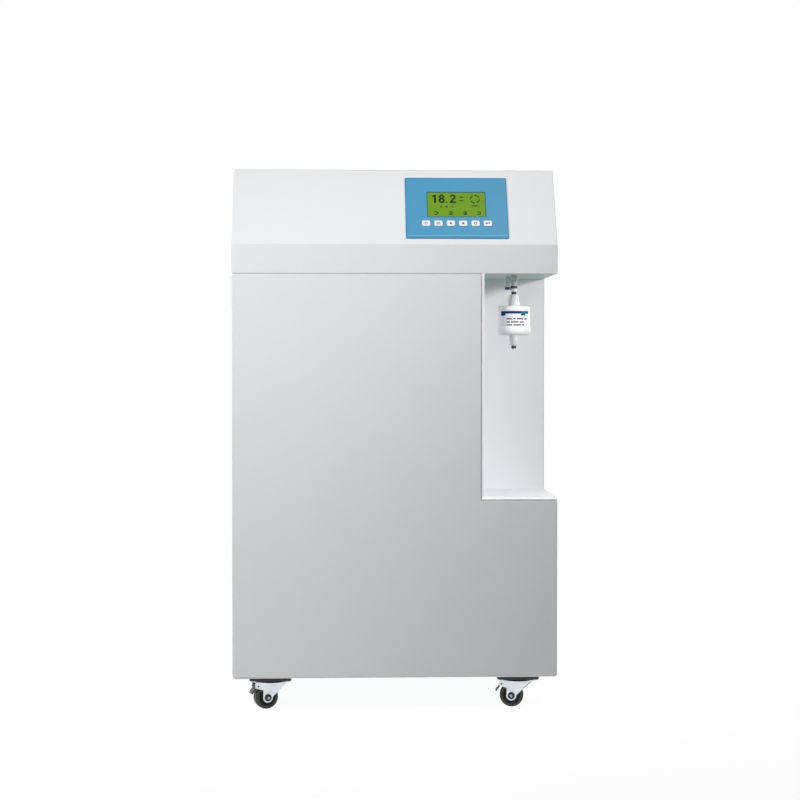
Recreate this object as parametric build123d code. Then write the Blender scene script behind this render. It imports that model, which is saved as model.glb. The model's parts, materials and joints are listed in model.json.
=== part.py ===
from build123d import *
import math
import os

# Laboratory water purifier in a floor-standing steel cabinet on swivel casters.
# Millimetres, +Z up, front towards -Y. The origin is on the floor, under the middle of the overall box.

# Cabinet
body_width = 540.0
body_depth = 480.0
sheet = 1.5
flange = 16.0
pan_flange = 20.0

# Casters
wheel_radius = 20.0
wheel_width = 17.0
tyre_round = 3.5
hub_recess = 1.6
hub_radius = 6.5
tread_height = 6.0
axle_radius = 3.0
nut_radius = 5.5
axle_head_radius = 6.0
axle_head_height = 4.0
axle_head_round = 3.4
fork_sheet = 2.5
fork_gap = 1.0
hub_gap = 0.4
crown_radius = 28.0
crown_gap = 4.5
axle_eye_radius = 8.0
leg_step = 4.0
caster_trail = 9.0
race_radius = 17.0
race_height = 2.5
race_gap = 0.4
kingpin_radius = 4.0
rivet_radius = 7.0
rivet_height = 2.6
caster_plate_length = 70.0
caster_plate_width = 52.0
caster_plate_thick = 2.5
caster_plate_corner = 6.0
caster_pad_thick = 3.5
caster_bolt_radius = 3.0
caster_bolt_head = 2.0
caster_bolt_margin = 7.0
caster_inset_side = 61.5
caster_inset_end = 54.0
caster_yaws = {"front_left": 200.0, "front_right": 172.0, "rear_left": 150.0, "rear_right": 20.0}
brake_pivot_reach = 16.8
brake_pivot_drop = 5.0
brake_pin_radius = 1.5
brake_barrel_radius = 2.8
brake_tab_length = 16.0
brake_tab_thick = 2.4
brake_tab_lean = 38.0

# Door
door_thick = 18.0
door_height = 669.0
door_raise = 5.0
door_corner = 3.0
door_edge_round = 2.0
door_side_gap = 0.5
door_seam_gap = 1.5
door_lip_gap = 1.0
hinge_gap = 4.0
pivot_from_side = 7.0
pivot_from_back = 7.0
pin_radius = 3.0
pin_length = 12.0
strap_thick = 2.0
strap_width = 24.0
strap_length = 60.0
bush_width = 14.0
bush_height = 16.0
magnet_height = 30.0
magnet_width = 11.0
magnet_gap = 0.4
magnet_heights = (60.0, 250.0)

# Head
band_height = 48.0
slant_rise = 130.0
slant_run = 68.0
bend_radius = 4.5
side_round = 2.0
pass_width = 120.0
pass_depth = 90.0

# Dispensing niche
niche_width = 122.0
niche_depth = 188.0
ledge_height = 303.7
lip = 4.4
lip_round = 2.0

# Control panel, measured up the slanted face from its lower bend
panel_from_side = 166.5
panel_offset = 10.5
panel_width = 171.0
panel_height = 119.0
panel_corner = 1.5
overlay_thick = 2.0
window_offset = 41.5
window_width = 99.0
window_height = 49.5
window_thick = 1.4
window_seat = 3.0
key_count = 6
key_offset = 28.6
key_pitch = 20.6
key_width = 14.0
key_height = 10.6
key_corner = 2.6
key_proud = 1.1
key_gap = 0.35
key_flange = 1.6
key_flange_thick = 1.0
key_stem_radius = 1.6
key_travel = 0.6
board_depth = 12.5
board_thick = 1.6
board_margin = 6.0
module_margin = 3.5
switch_size = 6.0

# Outlets and capsule filter
outlet_front_from_side = 66.0
outlet_front_depth = 70.0
outlet_rear_from_side = 71.0
outlet_rear_depth = 115.0
fitting_radius = 5.5
fitting_drop = 15.5
fitting_flange_radius = 7.2
fitting_flange_height = 2.5
fitting_thread_radius = 4.6
fitting_nut_radius = 8.0
fitting_nut_height = 5.0
fitting_stub_height = 17.0
fitting_bore_radius = 2.4
collet_radius = 6.0
collet_height = 4.2
spigot_radius = 3.1
spigot_length = 10.0
link_radius = 5.0
link_height = 5.4
seal_radius = 4.2
seal_height = 4.6
capsule_radius = 27.4
capsule_height = 50.0
capsule_wall = 2.0
capsule_rim = 1.0
capsule_rim_height = 7.0
capsule_shoulder = 7.0
capsule_neck_radius = 9.0
capsule_neck_height = 11.0
capsule_collar_radius = 6.8
capsule_collar_height = 8.6
capsule_tail_radius = 9.2
capsule_tail_tip = 5.0
capsule_tail_height = 17.5
capsule_tip_height = 3.0

# Water treatment behind the door
chassis_depth = 140.0
tube_radius = 3.2
tube_bore = 2.1
tube_bend = 18.0
tube_lead = 4.0
link_bend = 11.0
tube_fit = 0.05
tube_hole_gap = 2.0
filter_pitch = 122.0
filter_from_side = 64.0
filter_from_chassis = 64.0
filter_head_radius = 54.0
filter_head_height = 48.0
filter_boss_radius = 13.0
filter_boss_reach = 58.0
filter_drop = 38.0
bracket_thick = 2.0
bracket_flange = 28.0
bowl_radius = 50.0
bowl_wall = 4.0
bowl_height = 250.0
bowl_round = 18.0
bowl_collar_radius = 56.0
bowl_collar_height = 26.0
cartridge_radius = 31.0
cartridge_bore = 14.0
vessel_gap = 4.5
vessel_from_chassis = 62.0
vessel_height = 245.0
membrane_radius = 32.0
membrane_cap_radius = 36.0
column_radius = 40.0
column_cap_radius = 43.0
cap_height = 24.0
cap_round = 4.0
port_radius = 6.0
port_height = 10.0
port_spread = 16.0
clip_width = 26.0
clip_height = 18.0
clip_gap = 0.3
clip_from_top = 70.0
link_rise = 25.0
drain_height = 45.0
pump_from_side = 40.0
pump_head_length = 52.0
pump_head_size = 70.0
pump_head_round = 5.0
motor_radius = 33.0
motor_length = 78.0
motor_cap_radius = 35.0
motor_cap_length = 12.0
pump_axis_height = 52.0
pump_foot_thick = 2.5
pump_foot_width = 74.0
pump_mount_radius = 8.0
pump_mount_height = 12.0
pump_mount_inset = 12.0
pump_port_length = 8.0
valve_length = 42.0
valve_width = 28.0
coil_width = 24.0
coil_length = 30.0
coil_height = 34.0
supply_width = 180.0
supply_height = 110.0
supply_depth = 46.0
supply_from_side = 40.0
supply_above_ledge = 140.0

# Rear panel
port_reach = 20.0
port_body_radius = 7.5
port_thread_radius = 6.5
port_hex_radius = 10.0
port_hex_length = 6.0
port_inner_length = 18.0
port_socket_depth = 15.0
tank_port_from_side = 120.0
tank_port_above_ledge = 240.0
louvre_count = 8
louvre_width = 150.0
louvre_height = 5.0
louvre_pitch = 16.0
louvre_above_ledge = 90.0
inlet_from_side = 85.0
inlet_above_pan = 90.0
inlet_width = 44.0
inlet_height = 62.0
inlet_rim = 4.0
inlet_rim_thick = 3.0
inlet_depth = 28.0
socket_width = 25.0
socket_height = 18.0
socket_depth = 17.0
socket_offset = 14.0
blade_width = 2.0
blade_height = 4.5
blade_length = 13.0
blade_pitch = 7.0
blade_root = 6.0
rocker_radius = 9.0
rocker_width = 13.0
rocker_face = 5.5
rocker_tilt = 10.0
rocker_gap = 0.4
rocker_sink = 2.0
rocker_offset = 15.0
rocker_pin_radius = 1.5
rocker_pin_reach = 2.5
screw_radius = 2.0
screw_head_radius = 4.0
screw_head_height = 2.2
screw_length = 8.0
screw_rows = 4

# Places worked out from the sizes above
half = body_width / 2
front_y = -(body_depth + port_reach) / 2
rear_y = front_y + body_depth
axle_z = wheel_radius
crown_low = 2 * wheel_radius + crown_gap
crown_high = crown_low + fork_sheet
plate_low = crown_high + race_height
plate_high = plate_low + caster_plate_thick
carcass_low = plate_high + caster_pad_thick
pan_top = carcass_low + sheet
carcass_front = front_y + door_thick + hinge_gap
door_low = carcass_low + door_raise
door_high = door_low + door_height
head_low = door_high + door_seam_gap
floor_top = head_low + sheet
break_z = head_low + band_height
top_z = break_z + slant_rise
tray_top = carcass_low + ledge_height
tray_low = tray_top - sheet
niche_x = half - niche_width
niche_back = front_y + niche_depth
liner_x = niche_x - sheet
lip_x = niche_x - lip
chassis_y = carcass_front + chassis_depth
chassis_back = chassis_y + sheet
pivot_x = -half + pivot_from_side
pivot_y = front_y + door_thick - pivot_from_back
slant_length = math.hypot(slant_rise, slant_run)
slant = Plane(origin=(0, front_y, break_z), x_dir=(1, 0, 0), z_dir=(0, -slant_rise, slant_run))
panel_centre_x = half - panel_from_side
key_row = panel_offset + key_offset
key_places = [panel_centre_x + (i - (key_count - 1) / 2) * key_pitch for i in range(key_count)]
window_middle = panel_offset + window_offset + window_height / 2
outlets = (
    (half - outlet_front_from_side, front_y + outlet_front_depth),
    (half - outlet_rear_from_side, front_y + outlet_rear_depth),
)
fitting_low = head_low - fitting_drop - fitting_flange_height
collet_low = fitting_low - collet_height
link_low = collet_low - link_height
capsule_neck_high = link_low - seal_height
capsule_high = capsule_neck_high - capsule_collar_height - capsule_neck_height
capsule_low = capsule_high - capsule_height
filter_y = chassis_y - filter_from_chassis
filter_room = liner_x + half - 2 * filter_from_side
filter_count = 1 + int(filter_room // filter_pitch)
filter_xs = [-half + filter_from_side + i * filter_pitch for i in range(filter_count)]
bracket_low = head_low - filter_drop
filter_head_low = bracket_low - filter_head_height
filter_port_z = bracket_low - filter_head_height / 2
vessel_y = chassis_y - vessel_from_chassis
vessel_top = pan_top + vessel_height
port_top = vessel_top + port_height
column_right = half - 2 * sheet - vessel_gap - column_cap_radius
column_left = column_right - 2 * column_cap_radius - vessel_gap
pump_x = -half + pump_from_side
pump_end = pump_x + pump_head_length + motor_length + motor_cap_length
membrane_pitch = 2 * membrane_cap_radius + vessel_gap
membrane_room = column_left - column_cap_radius - vessel_gap - pump_end
membrane_first = column_left - column_cap_radius - vessel_gap - membrane_cap_radius
membrane_count = int(membrane_room // membrane_pitch)
membrane_xs = [membrane_first - i * membrane_pitch for i in reversed(range(membrane_count))]
drain_z = pan_top + drain_height
pump_z = pan_top + pump_axis_height
pump_inlet_x = pump_x + pump_head_length / 2
inlet_x = -half + inlet_from_side
inlet_z = pan_top + inlet_above_pan
rocker_y = rear_y - rocker_sink
rocker_z = inlet_z + rocker_offset
caster_places = {
    "front_left": (-half + caster_inset_side, front_y + caster_inset_end),
    "front_right": (half - caster_inset_side, front_y + caster_inset_end),
    "rear_left": (-half + caster_inset_side, rear_y - caster_inset_end),
    "rear_right": (half - caster_inset_side, rear_y - caster_inset_end),
}
braked_casters = ("front_left", "front_right")


def block(x_span, y_span, z_span):
    """A box between two planes along each axis."""
    spans = (x_span, y_span, z_span)
    sizes = [high - low for low, high in spans]
    middles = [(high + low) / 2 for low, high in spans]
    return Pos(*middles) * Box(*sizes)


def around(middle, size):
    """The span of a size about its middle."""
    return (middle - size / 2, middle + size / 2)


def rod(start, direction, radius, length):
    """A round bar from a point along a direction."""
    return extrude(Plane(origin=start, z_dir=direction) * Circle(radius), amount=length)


def hexagon(start, direction, radius, length):
    """A hexagonal bar from a point along a direction."""
    return extrude(Plane(origin=start, z_dir=direction) * RegularPolygon(radius, 6), amount=length)


def tube(points, bend=None):
    """A water tube through the points, straight runs joined by round bends."""
    path = FilletPolyline(*points, radius=bend) if bend else Line(*points)
    wall = Plane(origin=path @ 0, z_dir=path % 0) * (Circle(tube_radius) - Circle(tube_bore))
    return sweep(wall, path=path)


def turned(profile, x, y):
    """A body of revolution about a vertical line, from points of radius and height."""
    outline = make_face(Plane.XZ * Polyline(*profile, close=True))
    return Pos(x, y, 0) * revolve(outline, axis=Axis.Z)


def group(shapes):
    """Separate solids kept side by side in one node."""
    return Compound([solid for shape in shapes for solid in shape.solids()])


def slant_slab(x_span, up_span, out_span, corner=0):
    """A slab lying on the slanted face, with rounded corners where given."""
    width = x_span[1] - x_span[0]
    height = up_span[1] - up_span[0]
    outline = RectangleRounded(width, height, corner) if corner else Rectangle(width, height)
    middle = Pos(sum(x_span) / 2, sum(up_span) / 2, out_span[0])
    return slant.location * (middle * extrude(outline, amount=out_span[1] - out_span[0]))


# Carcass
def caster_bolt_places():
    reach_x = caster_plate_length / 2 - caster_bolt_margin
    reach_y = caster_plate_width / 2 - caster_bolt_margin
    for x, y in caster_places.values():
        for side_x in (-reach_x, reach_x):
            for side_y in (-reach_y, reach_y):
                yield x + side_x, y + side_y


def base_pan():
    inside = half - sheet
    back = rear_y - sheet
    pan = block((-inside, inside), (carcass_front, back), (carcass_low, carcass_low + pan_flange))
    hollow_x = inside - sheet
    hollow_y = (carcass_front - sheet, back - sheet)
    pan -= block((-hollow_x, hollow_x), hollow_y, (pan_top, pan_top + pan_flange))
    for x, y in caster_bolt_places():
        pan -= rod((x, y, carcass_low), (0, 0, 1), caster_bolt_radius, sheet)
    return pan


def screw_places():
    """Rear panel screws, in two columns over the side panels' rear flanges."""
    lowest = carcass_low + pan_flange + flange
    step = (head_low - flange - lowest) / (screw_rows - 1)
    for side in (-1, 1):
        for row in range(screw_rows):
            yield side * (half - sheet - flange / 2), lowest + row * step


def edge_flange(side, y_span, top):
    """The folded edge of a side panel, above the pan's own flange."""
    inner = half - sheet - flange
    outer = half - sheet
    x_span = (inner, outer) if side > 0 else (-outer, -inner)
    return block(x_span, y_span, (carcass_low + pan_flange, top))


def rear_edge(side):
    edge = edge_flange(side, (rear_y - 2 * sheet, rear_y - sheet), head_low)
    for x, z in screw_places():
        edge -= rod((x, rear_y, z), (0, -1, 0), screw_radius, screw_length)
    return edge


def left_side_panel():
    panel = block((-half, -half + sheet), (carcass_front, rear_y), (carcass_low, head_low))
    panel += edge_flange(-1, (carcass_front, carcass_front + sheet), head_low)
    return panel + rear_edge(-1)


def right_side_panel():
    x_span = (half - sheet, half)
    panel = block(x_span, (carcass_front, rear_y), (carcass_low, tray_low))
    panel += block(x_span, (niche_back, rear_y), (tray_low, head_low))
    panel += edge_flange(1, (carcass_front, carcass_front + sheet), tray_low)
    panel -= block(x_span, (niche_back, niche_back + sheet), (tray_low, tray_top))
    return panel + rear_edge(1)


def rear_ports():
    """Feed, tank and drain ports, as places on the rear panel."""
    return (
        (filter_xs[0], filter_port_z),
        (half - tank_port_from_side, tray_top + tank_port_above_ledge),
        (membrane_xs[-1], drain_z),
    )


def rear_panel():
    inside = half - sheet
    y_span = (rear_y - sheet, rear_y)
    panel = block((-inside, inside), y_span, (carcass_low, head_low))
    for x, z in rear_ports():
        panel -= rod((x, rear_y, z), (0, -1, 0), port_thread_radius, sheet)
    for x, z in screw_places():
        panel -= rod((x, rear_y, z), (0, -1, 0), screw_radius, sheet)
    panel -= block(around(inlet_x, inlet_width), y_span, around(inlet_z, inlet_height))
    for row in range(louvre_count):
        z = tray_top + louvre_above_ledge + row * louvre_pitch
        panel -= block(around(inlet_x, louvre_width), y_span, around(z, louvre_height))
    return panel


def chassis_plate():
    """Upright plate that carries the water treatment, with holes for the tubes that pass it."""
    y_span = (chassis_y, chassis_back)
    edge = half - 2 * sheet
    plate = block((-edge, liner_x), y_span, (pan_top, head_low))
    plate += block((liner_x, edge), y_span, (pan_top, tray_low))
    passages = (
        (filter_xs[0], filter_port_z),
        (filter_xs[-1], filter_port_z),
        (pump_inlet_x, pump_z),
        (membrane_xs[-1], drain_z),
        (column_right, port_top + link_rise),
    )
    for x, z in passages:
        plate -= rod((x, chassis_y, z), (0, 1, 0), tube_radius + tube_hole_gap, sheet)
    return plate


def niche_liner():
    liner = block((lip_x, niche_x), (front_y, front_y + door_thick), (tray_top, head_low))
    liner = fillet(liner.edges().filter_by(Axis.Z).group_by(Axis.Y)[0], lip_round)
    liner += block((liner_x, niche_x), (front_y + door_thick, niche_back), (tray_top, head_low))
    return liner + block((liner_x, half - sheet), (niche_back, niche_back + sheet), (tray_top, head_low))


def tray_ledge():
    nose = block((lip_x, half), (front_y, front_y + door_thick), (tray_top - lip, tray_top))
    nose = fillet(nose.edges().filter_by(Axis.X).group_by(Axis.Y)[0], lip_round)
    plate = block((liner_x, half), (front_y + door_thick, niche_back + sheet), (tray_low, tray_top))
    return nose + plate


# Head
def head_block(inset, low):
    """The head's outline, inset by a wall, with its bends rounded."""
    slope_front = break_z - inset * (slant_length - slant_rise) / slant_run
    slope_back = front_y + ((slant_rise - inset) * slant_run + inset * slant_length) / slant_rise
    outline = Plane.YZ * Polyline(
        (front_y + inset, low),
        (front_y + inset, slope_front),
        (slope_back, top_z - inset),
        (rear_y - inset, top_z - inset),
        (rear_y - inset, low),
        close=True,
    )
    solid = extrude(make_face(outline), amount=half - inset, both=True)
    bends = [edge for edge in solid.edges().filter_by(Axis.X) if edge.center().Z > head_low + sheet]
    return fillet(bends, bend_radius - inset)


def head_cover():
    cover = head_block(0, head_low)
    for side in (cover.faces().sort_by(Axis.X)[0], cover.faces().sort_by(Axis.X)[-1]):
        rim = [edge for edge in side.edges() if edge.center().Z > head_low + sheet]
        cover = fillet(rim, side_round)
    cover -= head_block(sheet, head_low - sheet)
    seat = 2 * window_seat
    cover -= slant_slab(
        around(panel_centre_x, window_width - seat),
        around(window_middle, window_height - seat),
        (-2 * sheet, sheet),
    )
    slot = key_pitch * (key_count - 1) + key_width + 4 * key_flange
    slot_height = key_height + 4 * key_flange
    return cover - slant_slab(around(panel_centre_x, slot), around(key_row, slot_height), (-2 * sheet, sheet))


def head_floor():
    inside = half - sheet
    floor = block((-inside, inside), (front_y + sheet, rear_y - sheet), (head_low, floor_top))
    for x, y in outlets:
        floor -= rod((x, y, head_low), (0, 0, 1), fitting_thread_radius, sheet)
    start = niche_back + 2 * sheet
    return floor - block(around(outlets[0][0], pass_width), (start, start + pass_depth), (head_low, floor_top))


# Door and its pivots
def door_outline(inset):
    """The L-shaped front of the door, as corner points of X and Z."""
    left = -half + inset
    right = lip_x - door_side_gap - inset
    far_right = half - inset
    step = tray_top - lip - door_lip_gap - inset
    return (
        (left, door_low + inset),
        (far_right, door_low + inset),
        (far_right, step),
        (right, step),
        (right, door_high - inset),
        (left, door_high - inset),
    )


def door_slab(inset, depth_span):
    outline = make_face(Plane.XZ * Polyline(*door_outline(inset), close=True))
    slab = extrude(outline, amount=depth_span[0] - depth_span[1])
    return Pos(0, front_y + depth_span[0], 0) * slab


def front_door():
    door = door_slab(0, (0, door_thick))
    corners = [edge for edge in door.edges().filter_by(Axis.Y) if not edge.center().X == lip_x - door_side_gap]
    door = fillet(corners, door_corner)
    rim = door.faces().sort_by(Axis.Y)[0].edges()
    door = fillet(rim, door_edge_round)
    door -= door_slab(sheet, (sheet, door_thick))
    hole = pin_radius + tube_fit
    for z in (door_low, door_high - sheet):
        door -= rod((pivot_x, pivot_y, z), (0, 0, 1), hole, sheet)
    return door


def door_bushes():
    bushes = []
    for low in (door_low + sheet, door_high - sheet - bush_height):
        x_span = (-half + sheet, -half + sheet + bush_width)
        bush = block(x_span, (front_y + sheet, front_y + door_thick), (low, low + bush_height))
        bushes.append(bush - rod((pivot_x, pivot_y, low), (0, 0, 1), pin_radius + tube_fit, bush_height))
    return group(bushes)


def magnet_x_span():
    right = half - 2 * sheet
    return (right - magnet_width, right)


def door_strikes():
    y_span = (front_y + sheet, front_y + door_thick)
    return group([block(magnet_x_span(), y_span, around(door_low + z, magnet_height)) for z in magnet_heights])


def door_magnets():
    y_span = (front_y + door_thick + magnet_gap, carcass_front)
    return group([block(magnet_x_span(), y_span, around(door_low + z, magnet_height)) for z in magnet_heights])


def hinge_strap():
    left = -half + 2 * sheet
    y_span = (pivot_y - pin_radius, pivot_y - pin_radius + strap_length)
    return block((left, left + strap_width), y_span, (pan_top, pan_top + strap_thick))


def hinge_pins():
    strap_top = pan_top + strap_thick
    lower = rod((pivot_x, pivot_y, strap_top), (0, 0, 1), pin_radius, door_low - strap_top + pin_length)
    upper = rod((pivot_x, pivot_y, head_low), (0, 0, -1), pin_radius, door_seam_gap + pin_length)
    return group([lower, upper])


# Control panel
def control_overlay():
    up_span = (panel_offset, panel_offset + panel_height)
    overlay = slant_slab(around(panel_centre_x, panel_width), up_span, (0, overlay_thick), panel_corner)
    overlay -= slant_slab(
        around(panel_centre_x, window_width), around(window_middle, window_height), (0, overlay_thick)
    )
    gap = 2 * key_gap
    for x in key_places:
        overlay -= slant_slab(
            around(x, key_width + gap),
            around(key_row, key_height + gap),
            (0, overlay_thick),
            key_corner + key_gap,
        )
    return overlay


def lcd_window():
    return slant_slab(
        around(panel_centre_x, window_width), around(window_middle, window_height), (0, window_thick)
    )


def lcd_module():
    margin = 2 * module_margin
    return slant_slab(
        around(panel_centre_x, window_width + margin),
        around(window_middle, window_height + margin),
        (-board_depth, -sheet),
    )


def control_board():
    margin = 2 * board_margin
    middle = panel_offset + panel_height / 2
    board = slant_slab(
        around(panel_centre_x, panel_width - margin),
        around(middle, panel_height - margin),
        (-board_depth - board_thick, -board_depth),
    )
    for x in key_places:
        board += slant_slab(
            around(x, switch_size), around(key_row, switch_size), (-board_depth, -board_depth + switch_size)
        )
    return board


def key(x):
    """A key cap with the flange that holds it under the panel and the stem to its switch."""
    rim = 2 * key_flange
    cap = slant_slab(
        around(x, key_width), around(key_row, key_height), (-key_gap, overlay_thick + key_proud), key_corner
    )
    base = slant_slab(
        around(x, key_width + rim),
        around(key_row, key_height + rim),
        (-key_gap - key_flange_thick, -key_gap),
        key_corner,
    )
    stem_low = -board_depth + switch_size + key_travel + key_gap
    start = slant.from_local_coords((x, key_row, stem_low))
    stem = rod(start, slant.z_dir, key_stem_radius, -key_gap - stem_low)
    return cap + base + stem


# Outlets and the capsule filter that hangs from the front one
def outlet_fitting(x, y):
    down = (0, 0, -1)
    up = (0, 0, 1)
    fitting = rod((x, y, head_low), down, fitting_radius, fitting_drop)
    fitting += rod((x, y, fitting_low), up, fitting_flange_radius, fitting_flange_height)
    fitting += rod((x, y, head_low), up, fitting_thread_radius, sheet)
    fitting += hexagon((x, y, floor_top), up, fitting_nut_radius, fitting_nut_height)
    fitting += rod((x, y, floor_top), up, fitting_thread_radius, fitting_stub_height)
    full = floor_top + fitting_stub_height - fitting_low
    fitting -= rod((x, y, fitting_low), up, fitting_bore_radius, full)
    return fitting - rod((x, y, fitting_low), up, spigot_radius + tube_fit, spigot_length)


def collet_ring(x, y):
    ring = rod((x, y, collet_low), (0, 0, 1), collet_radius, collet_height)
    return ring - rod((x, y, collet_low), (0, 0, 1), spigot_radius + tube_fit, collet_height)


def capsule_link():
    """The white union between the front outlet and the capsule's neck."""
    x, y = outlets[0]
    up = (0, 0, 1)
    link = rod((x, y, link_low), up, link_radius, link_height)
    link += rod((x, y, collet_low), up, spigot_radius, collet_height + spigot_length)
    link += rod((x, y, link_low), (0, 0, -1), spigot_radius, seal_height)
    bore = collet_height + spigot_length + link_height + seal_height
    return link - rod((x, y, capsule_neck_high), up, fitting_bore_radius, bore)


def seal_rings():
    x, y = outlets[0]
    upper = rod((x, y, capsule_neck_high), (0, 0, 1), seal_radius, seal_height)
    upper -= rod((x, y, capsule_neck_high), (0, 0, 1), spigot_radius, seal_height)
    tail_low = capsule_low - capsule_tail_height
    lower = rod((x, y, tail_low), (0, 0, -1), seal_radius, seal_height)
    lower -= rod((x, y, tail_low), (0, 0, -1), spigot_radius, seal_height)
    return group([upper, lower])


def capsule_housing():
    tail_low = capsule_low - capsule_tail_height
    tip_high = tail_low - seal_height
    rim_radius = capsule_radius + capsule_rim
    neck_low = capsule_high + capsule_neck_height
    profile = (
        (fitting_bore_radius, capsule_neck_high),
        (capsule_collar_radius, capsule_neck_high),
        (capsule_collar_radius, neck_low),
        (capsule_neck_radius, neck_low),
        (capsule_neck_radius, capsule_high),
        (capsule_radius - capsule_shoulder, capsule_high),
        (capsule_radius, capsule_high - capsule_shoulder),
        (capsule_radius, capsule_low + capsule_shoulder + capsule_rim_height),
        (rim_radius, capsule_low + capsule_shoulder + capsule_rim_height),
        (rim_radius, capsule_low + capsule_shoulder),
        (capsule_radius - capsule_shoulder, capsule_low),
        (capsule_tail_radius, capsule_low),
        (capsule_tail_tip, tail_low),
        (spigot_radius, tail_low),
        (spigot_radius, tip_high),
        (seal_radius, tip_high),
        (seal_radius, tip_high - capsule_tip_height),
        (fitting_bore_radius, tip_high - capsule_tip_height),
        (fitting_bore_radius, capsule_low + capsule_wall),
        (capsule_radius - capsule_shoulder, capsule_low + capsule_wall),
        (capsule_radius - capsule_wall, capsule_low + capsule_shoulder + capsule_wall),
        (capsule_radius - capsule_wall, capsule_high - capsule_shoulder),
        (capsule_radius - capsule_shoulder, capsule_high - capsule_wall),
        (fitting_bore_radius, capsule_high - capsule_wall),
    )
    return turned(profile, *outlets[0])


# Prefilters
def filter_bracket():
    ends = (filter_xs[0] - filter_head_radius, filter_xs[-1] + filter_head_radius)
    bracket_high = bracket_low + bracket_thick
    shelf = block(ends, (filter_y - filter_head_radius, chassis_y), (bracket_low, bracket_high))
    upright = (bracket_high, bracket_low + bracket_flange)
    return shelf + block(ends, (chassis_y - bracket_thick, chassis_y), upright)


def filter_head(x, port_directions):
    head = rod((x, filter_y, filter_head_low), (0, 0, 1), filter_head_radius, filter_head_height)
    head = fillet(head.edges().group_by(Axis.Z)[-1], cap_round)
    for direction in port_directions:
        head += rod((x, filter_y, filter_port_z), direction, filter_boss_radius, filter_boss_reach)
    return head


def prefilter_heads():
    left, right, back = (-1, 0, 0), (1, 0, 0), (0, 1, 0)
    heads = []
    for x in filter_xs:
        entry = back if x == filter_xs[0] else left
        leave = back if x == filter_xs[-1] else right
        heads.append(filter_head(x, (entry, leave)))
    return group(heads)


def prefilter_bowl(x):
    low = filter_head_low - bowl_height
    bowl = rod((x, filter_y, low), (0, 0, 1), bowl_radius, bowl_height)
    bowl = fillet(bowl.edges().group_by(Axis.Z)[0], bowl_round)
    collar_low = filter_head_low - bowl_collar_height
    bowl += rod((x, filter_y, collar_low), (0, 0, 1), bowl_collar_radius, bowl_collar_height)
    inner = rod((x, filter_y, low + bowl_wall), (0, 0, 1), bowl_radius - bowl_wall, bowl_height)
    return bowl - fillet(inner.edges().group_by(Axis.Z)[0], bowl_round - bowl_wall)


def prefilter_cartridge(x):
    low = filter_head_low - bowl_height + bowl_wall
    length = bowl_height - bowl_wall
    cartridge = rod((x, filter_y, low), (0, 0, 1), cartridge_radius, length)
    return cartridge - rod((x, filter_y, low), (0, 0, 1), cartridge_bore, length)


# Membrane vessels and polishing columns standing on the pan
def vessel(x, radius, cap_radius):
    up = (0, 0, 1)
    body = rod((x, vessel_y, pan_top), up, radius, vessel_height)
    for low in (pan_top, vessel_top - cap_height):
        cap = rod((x, vessel_y, low), up, cap_radius, cap_height)
        body += fillet(cap.edges().filter_by(GeomType.CIRCLE), cap_round)
    for side in (-port_spread, port_spread):
        body += rod((x, vessel_y + side, vessel_top), up, port_radius, port_height)
    return body


def ro_vessels():
    vessels = [vessel(x, membrane_radius, membrane_cap_radius) for x in membrane_xs]
    reach = membrane_cap_radius + port_height
    vessels[-1] += rod((membrane_xs[-1], vessel_y, drain_z), (0, 1, 0), port_radius, reach)
    return group(vessels)


def polishing_columns():
    return group([vessel(x, column_radius, column_cap_radius) for x in (column_left, column_right)])


def vessel_clips():
    z_span = around(vessel_top - clip_from_top, clip_height)
    radii = {x: membrane_radius for x in membrane_xs} | {x: column_radius for x in (column_left, column_right)}
    clips = []
    for x, radius in radii.items():
        clip = block(around(x, clip_width), (vessel_y + radius / 2, chassis_y), z_span)
        clips.append(clip - rod((x, vessel_y, z_span[0]), (0, 0, 1), radius + clip_gap, clip_height))
    return group(clips)


# Booster pump
def pump_mount_places():
    length = pump_head_length + motor_length
    for x in (pump_x + pump_mount_inset, pump_x + length - pump_mount_inset):
        for side in (-1, 1):
            yield x, vessel_y + side * (pump_foot_width / 2 - pump_mount_inset)


def booster_pump():
    along = (1, 0, 0)
    foot_low = pan_top + pump_mount_height
    head_span = (pump_x, pump_x + pump_head_length)
    head = block(head_span, around(vessel_y, pump_head_size), around(pump_z, pump_head_size))
    pump = fillet(head.edges().filter_by(Axis.X), pump_head_round)
    motor_x = pump_x + pump_head_length
    pump += rod((motor_x, vessel_y, pump_z), along, motor_radius, motor_length)
    cap = rod((motor_x + motor_length, vessel_y, pump_z), along, motor_cap_radius, motor_cap_length)
    pump += fillet(cap.edges().group_by(Axis.X)[-1], cap_round)
    reach = pump_head_size / 2 + pump_port_length
    for direction in ((0, 1, 0), (0, 0, 1)):
        pump += rod((pump_inlet_x, vessel_y, pump_z), direction, port_radius, reach)
    foot_span = (pump_x, motor_x + motor_length)
    foot_y = around(vessel_y, pump_foot_width)
    foot = block(foot_span, foot_y, (foot_low, foot_low + pump_foot_thick))
    saddle = block((motor_x, motor_x + motor_length), around(vessel_y, motor_radius), (foot_low, pump_z))
    return pump + foot + saddle


def pump_mounts():
    mounts = []
    for x, y in pump_mount_places():
        mounts.append(rod((x, y, pan_top), (0, 0, 1), pump_mount_radius, pump_mount_height))
    return group(mounts)


# Valves, supply and tubes
def solenoid_valve(x, z):
    y_span = (chassis_back, chassis_back + valve_length)
    body = block(around(x, valve_width), y_span, around(z, valve_width))
    middle = sum(y_span) / 2
    coil_low = z + valve_width / 2
    return body + block(around(x, coil_width), around(middle, coil_length), (coil_low, coil_low + coil_height))


def solenoid_valves():
    places = ((filter_xs[0], filter_port_z), (membrane_xs[-1], drain_z))
    return group([solenoid_valve(x, z) for x, z in places])


def power_supply():
    left = -half + supply_from_side
    x_span = (left, left + supply_width)
    low = tray_top + supply_above_ledge
    return block(x_span, (chassis_back, chassis_back + supply_depth), (low, low + supply_height))


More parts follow.
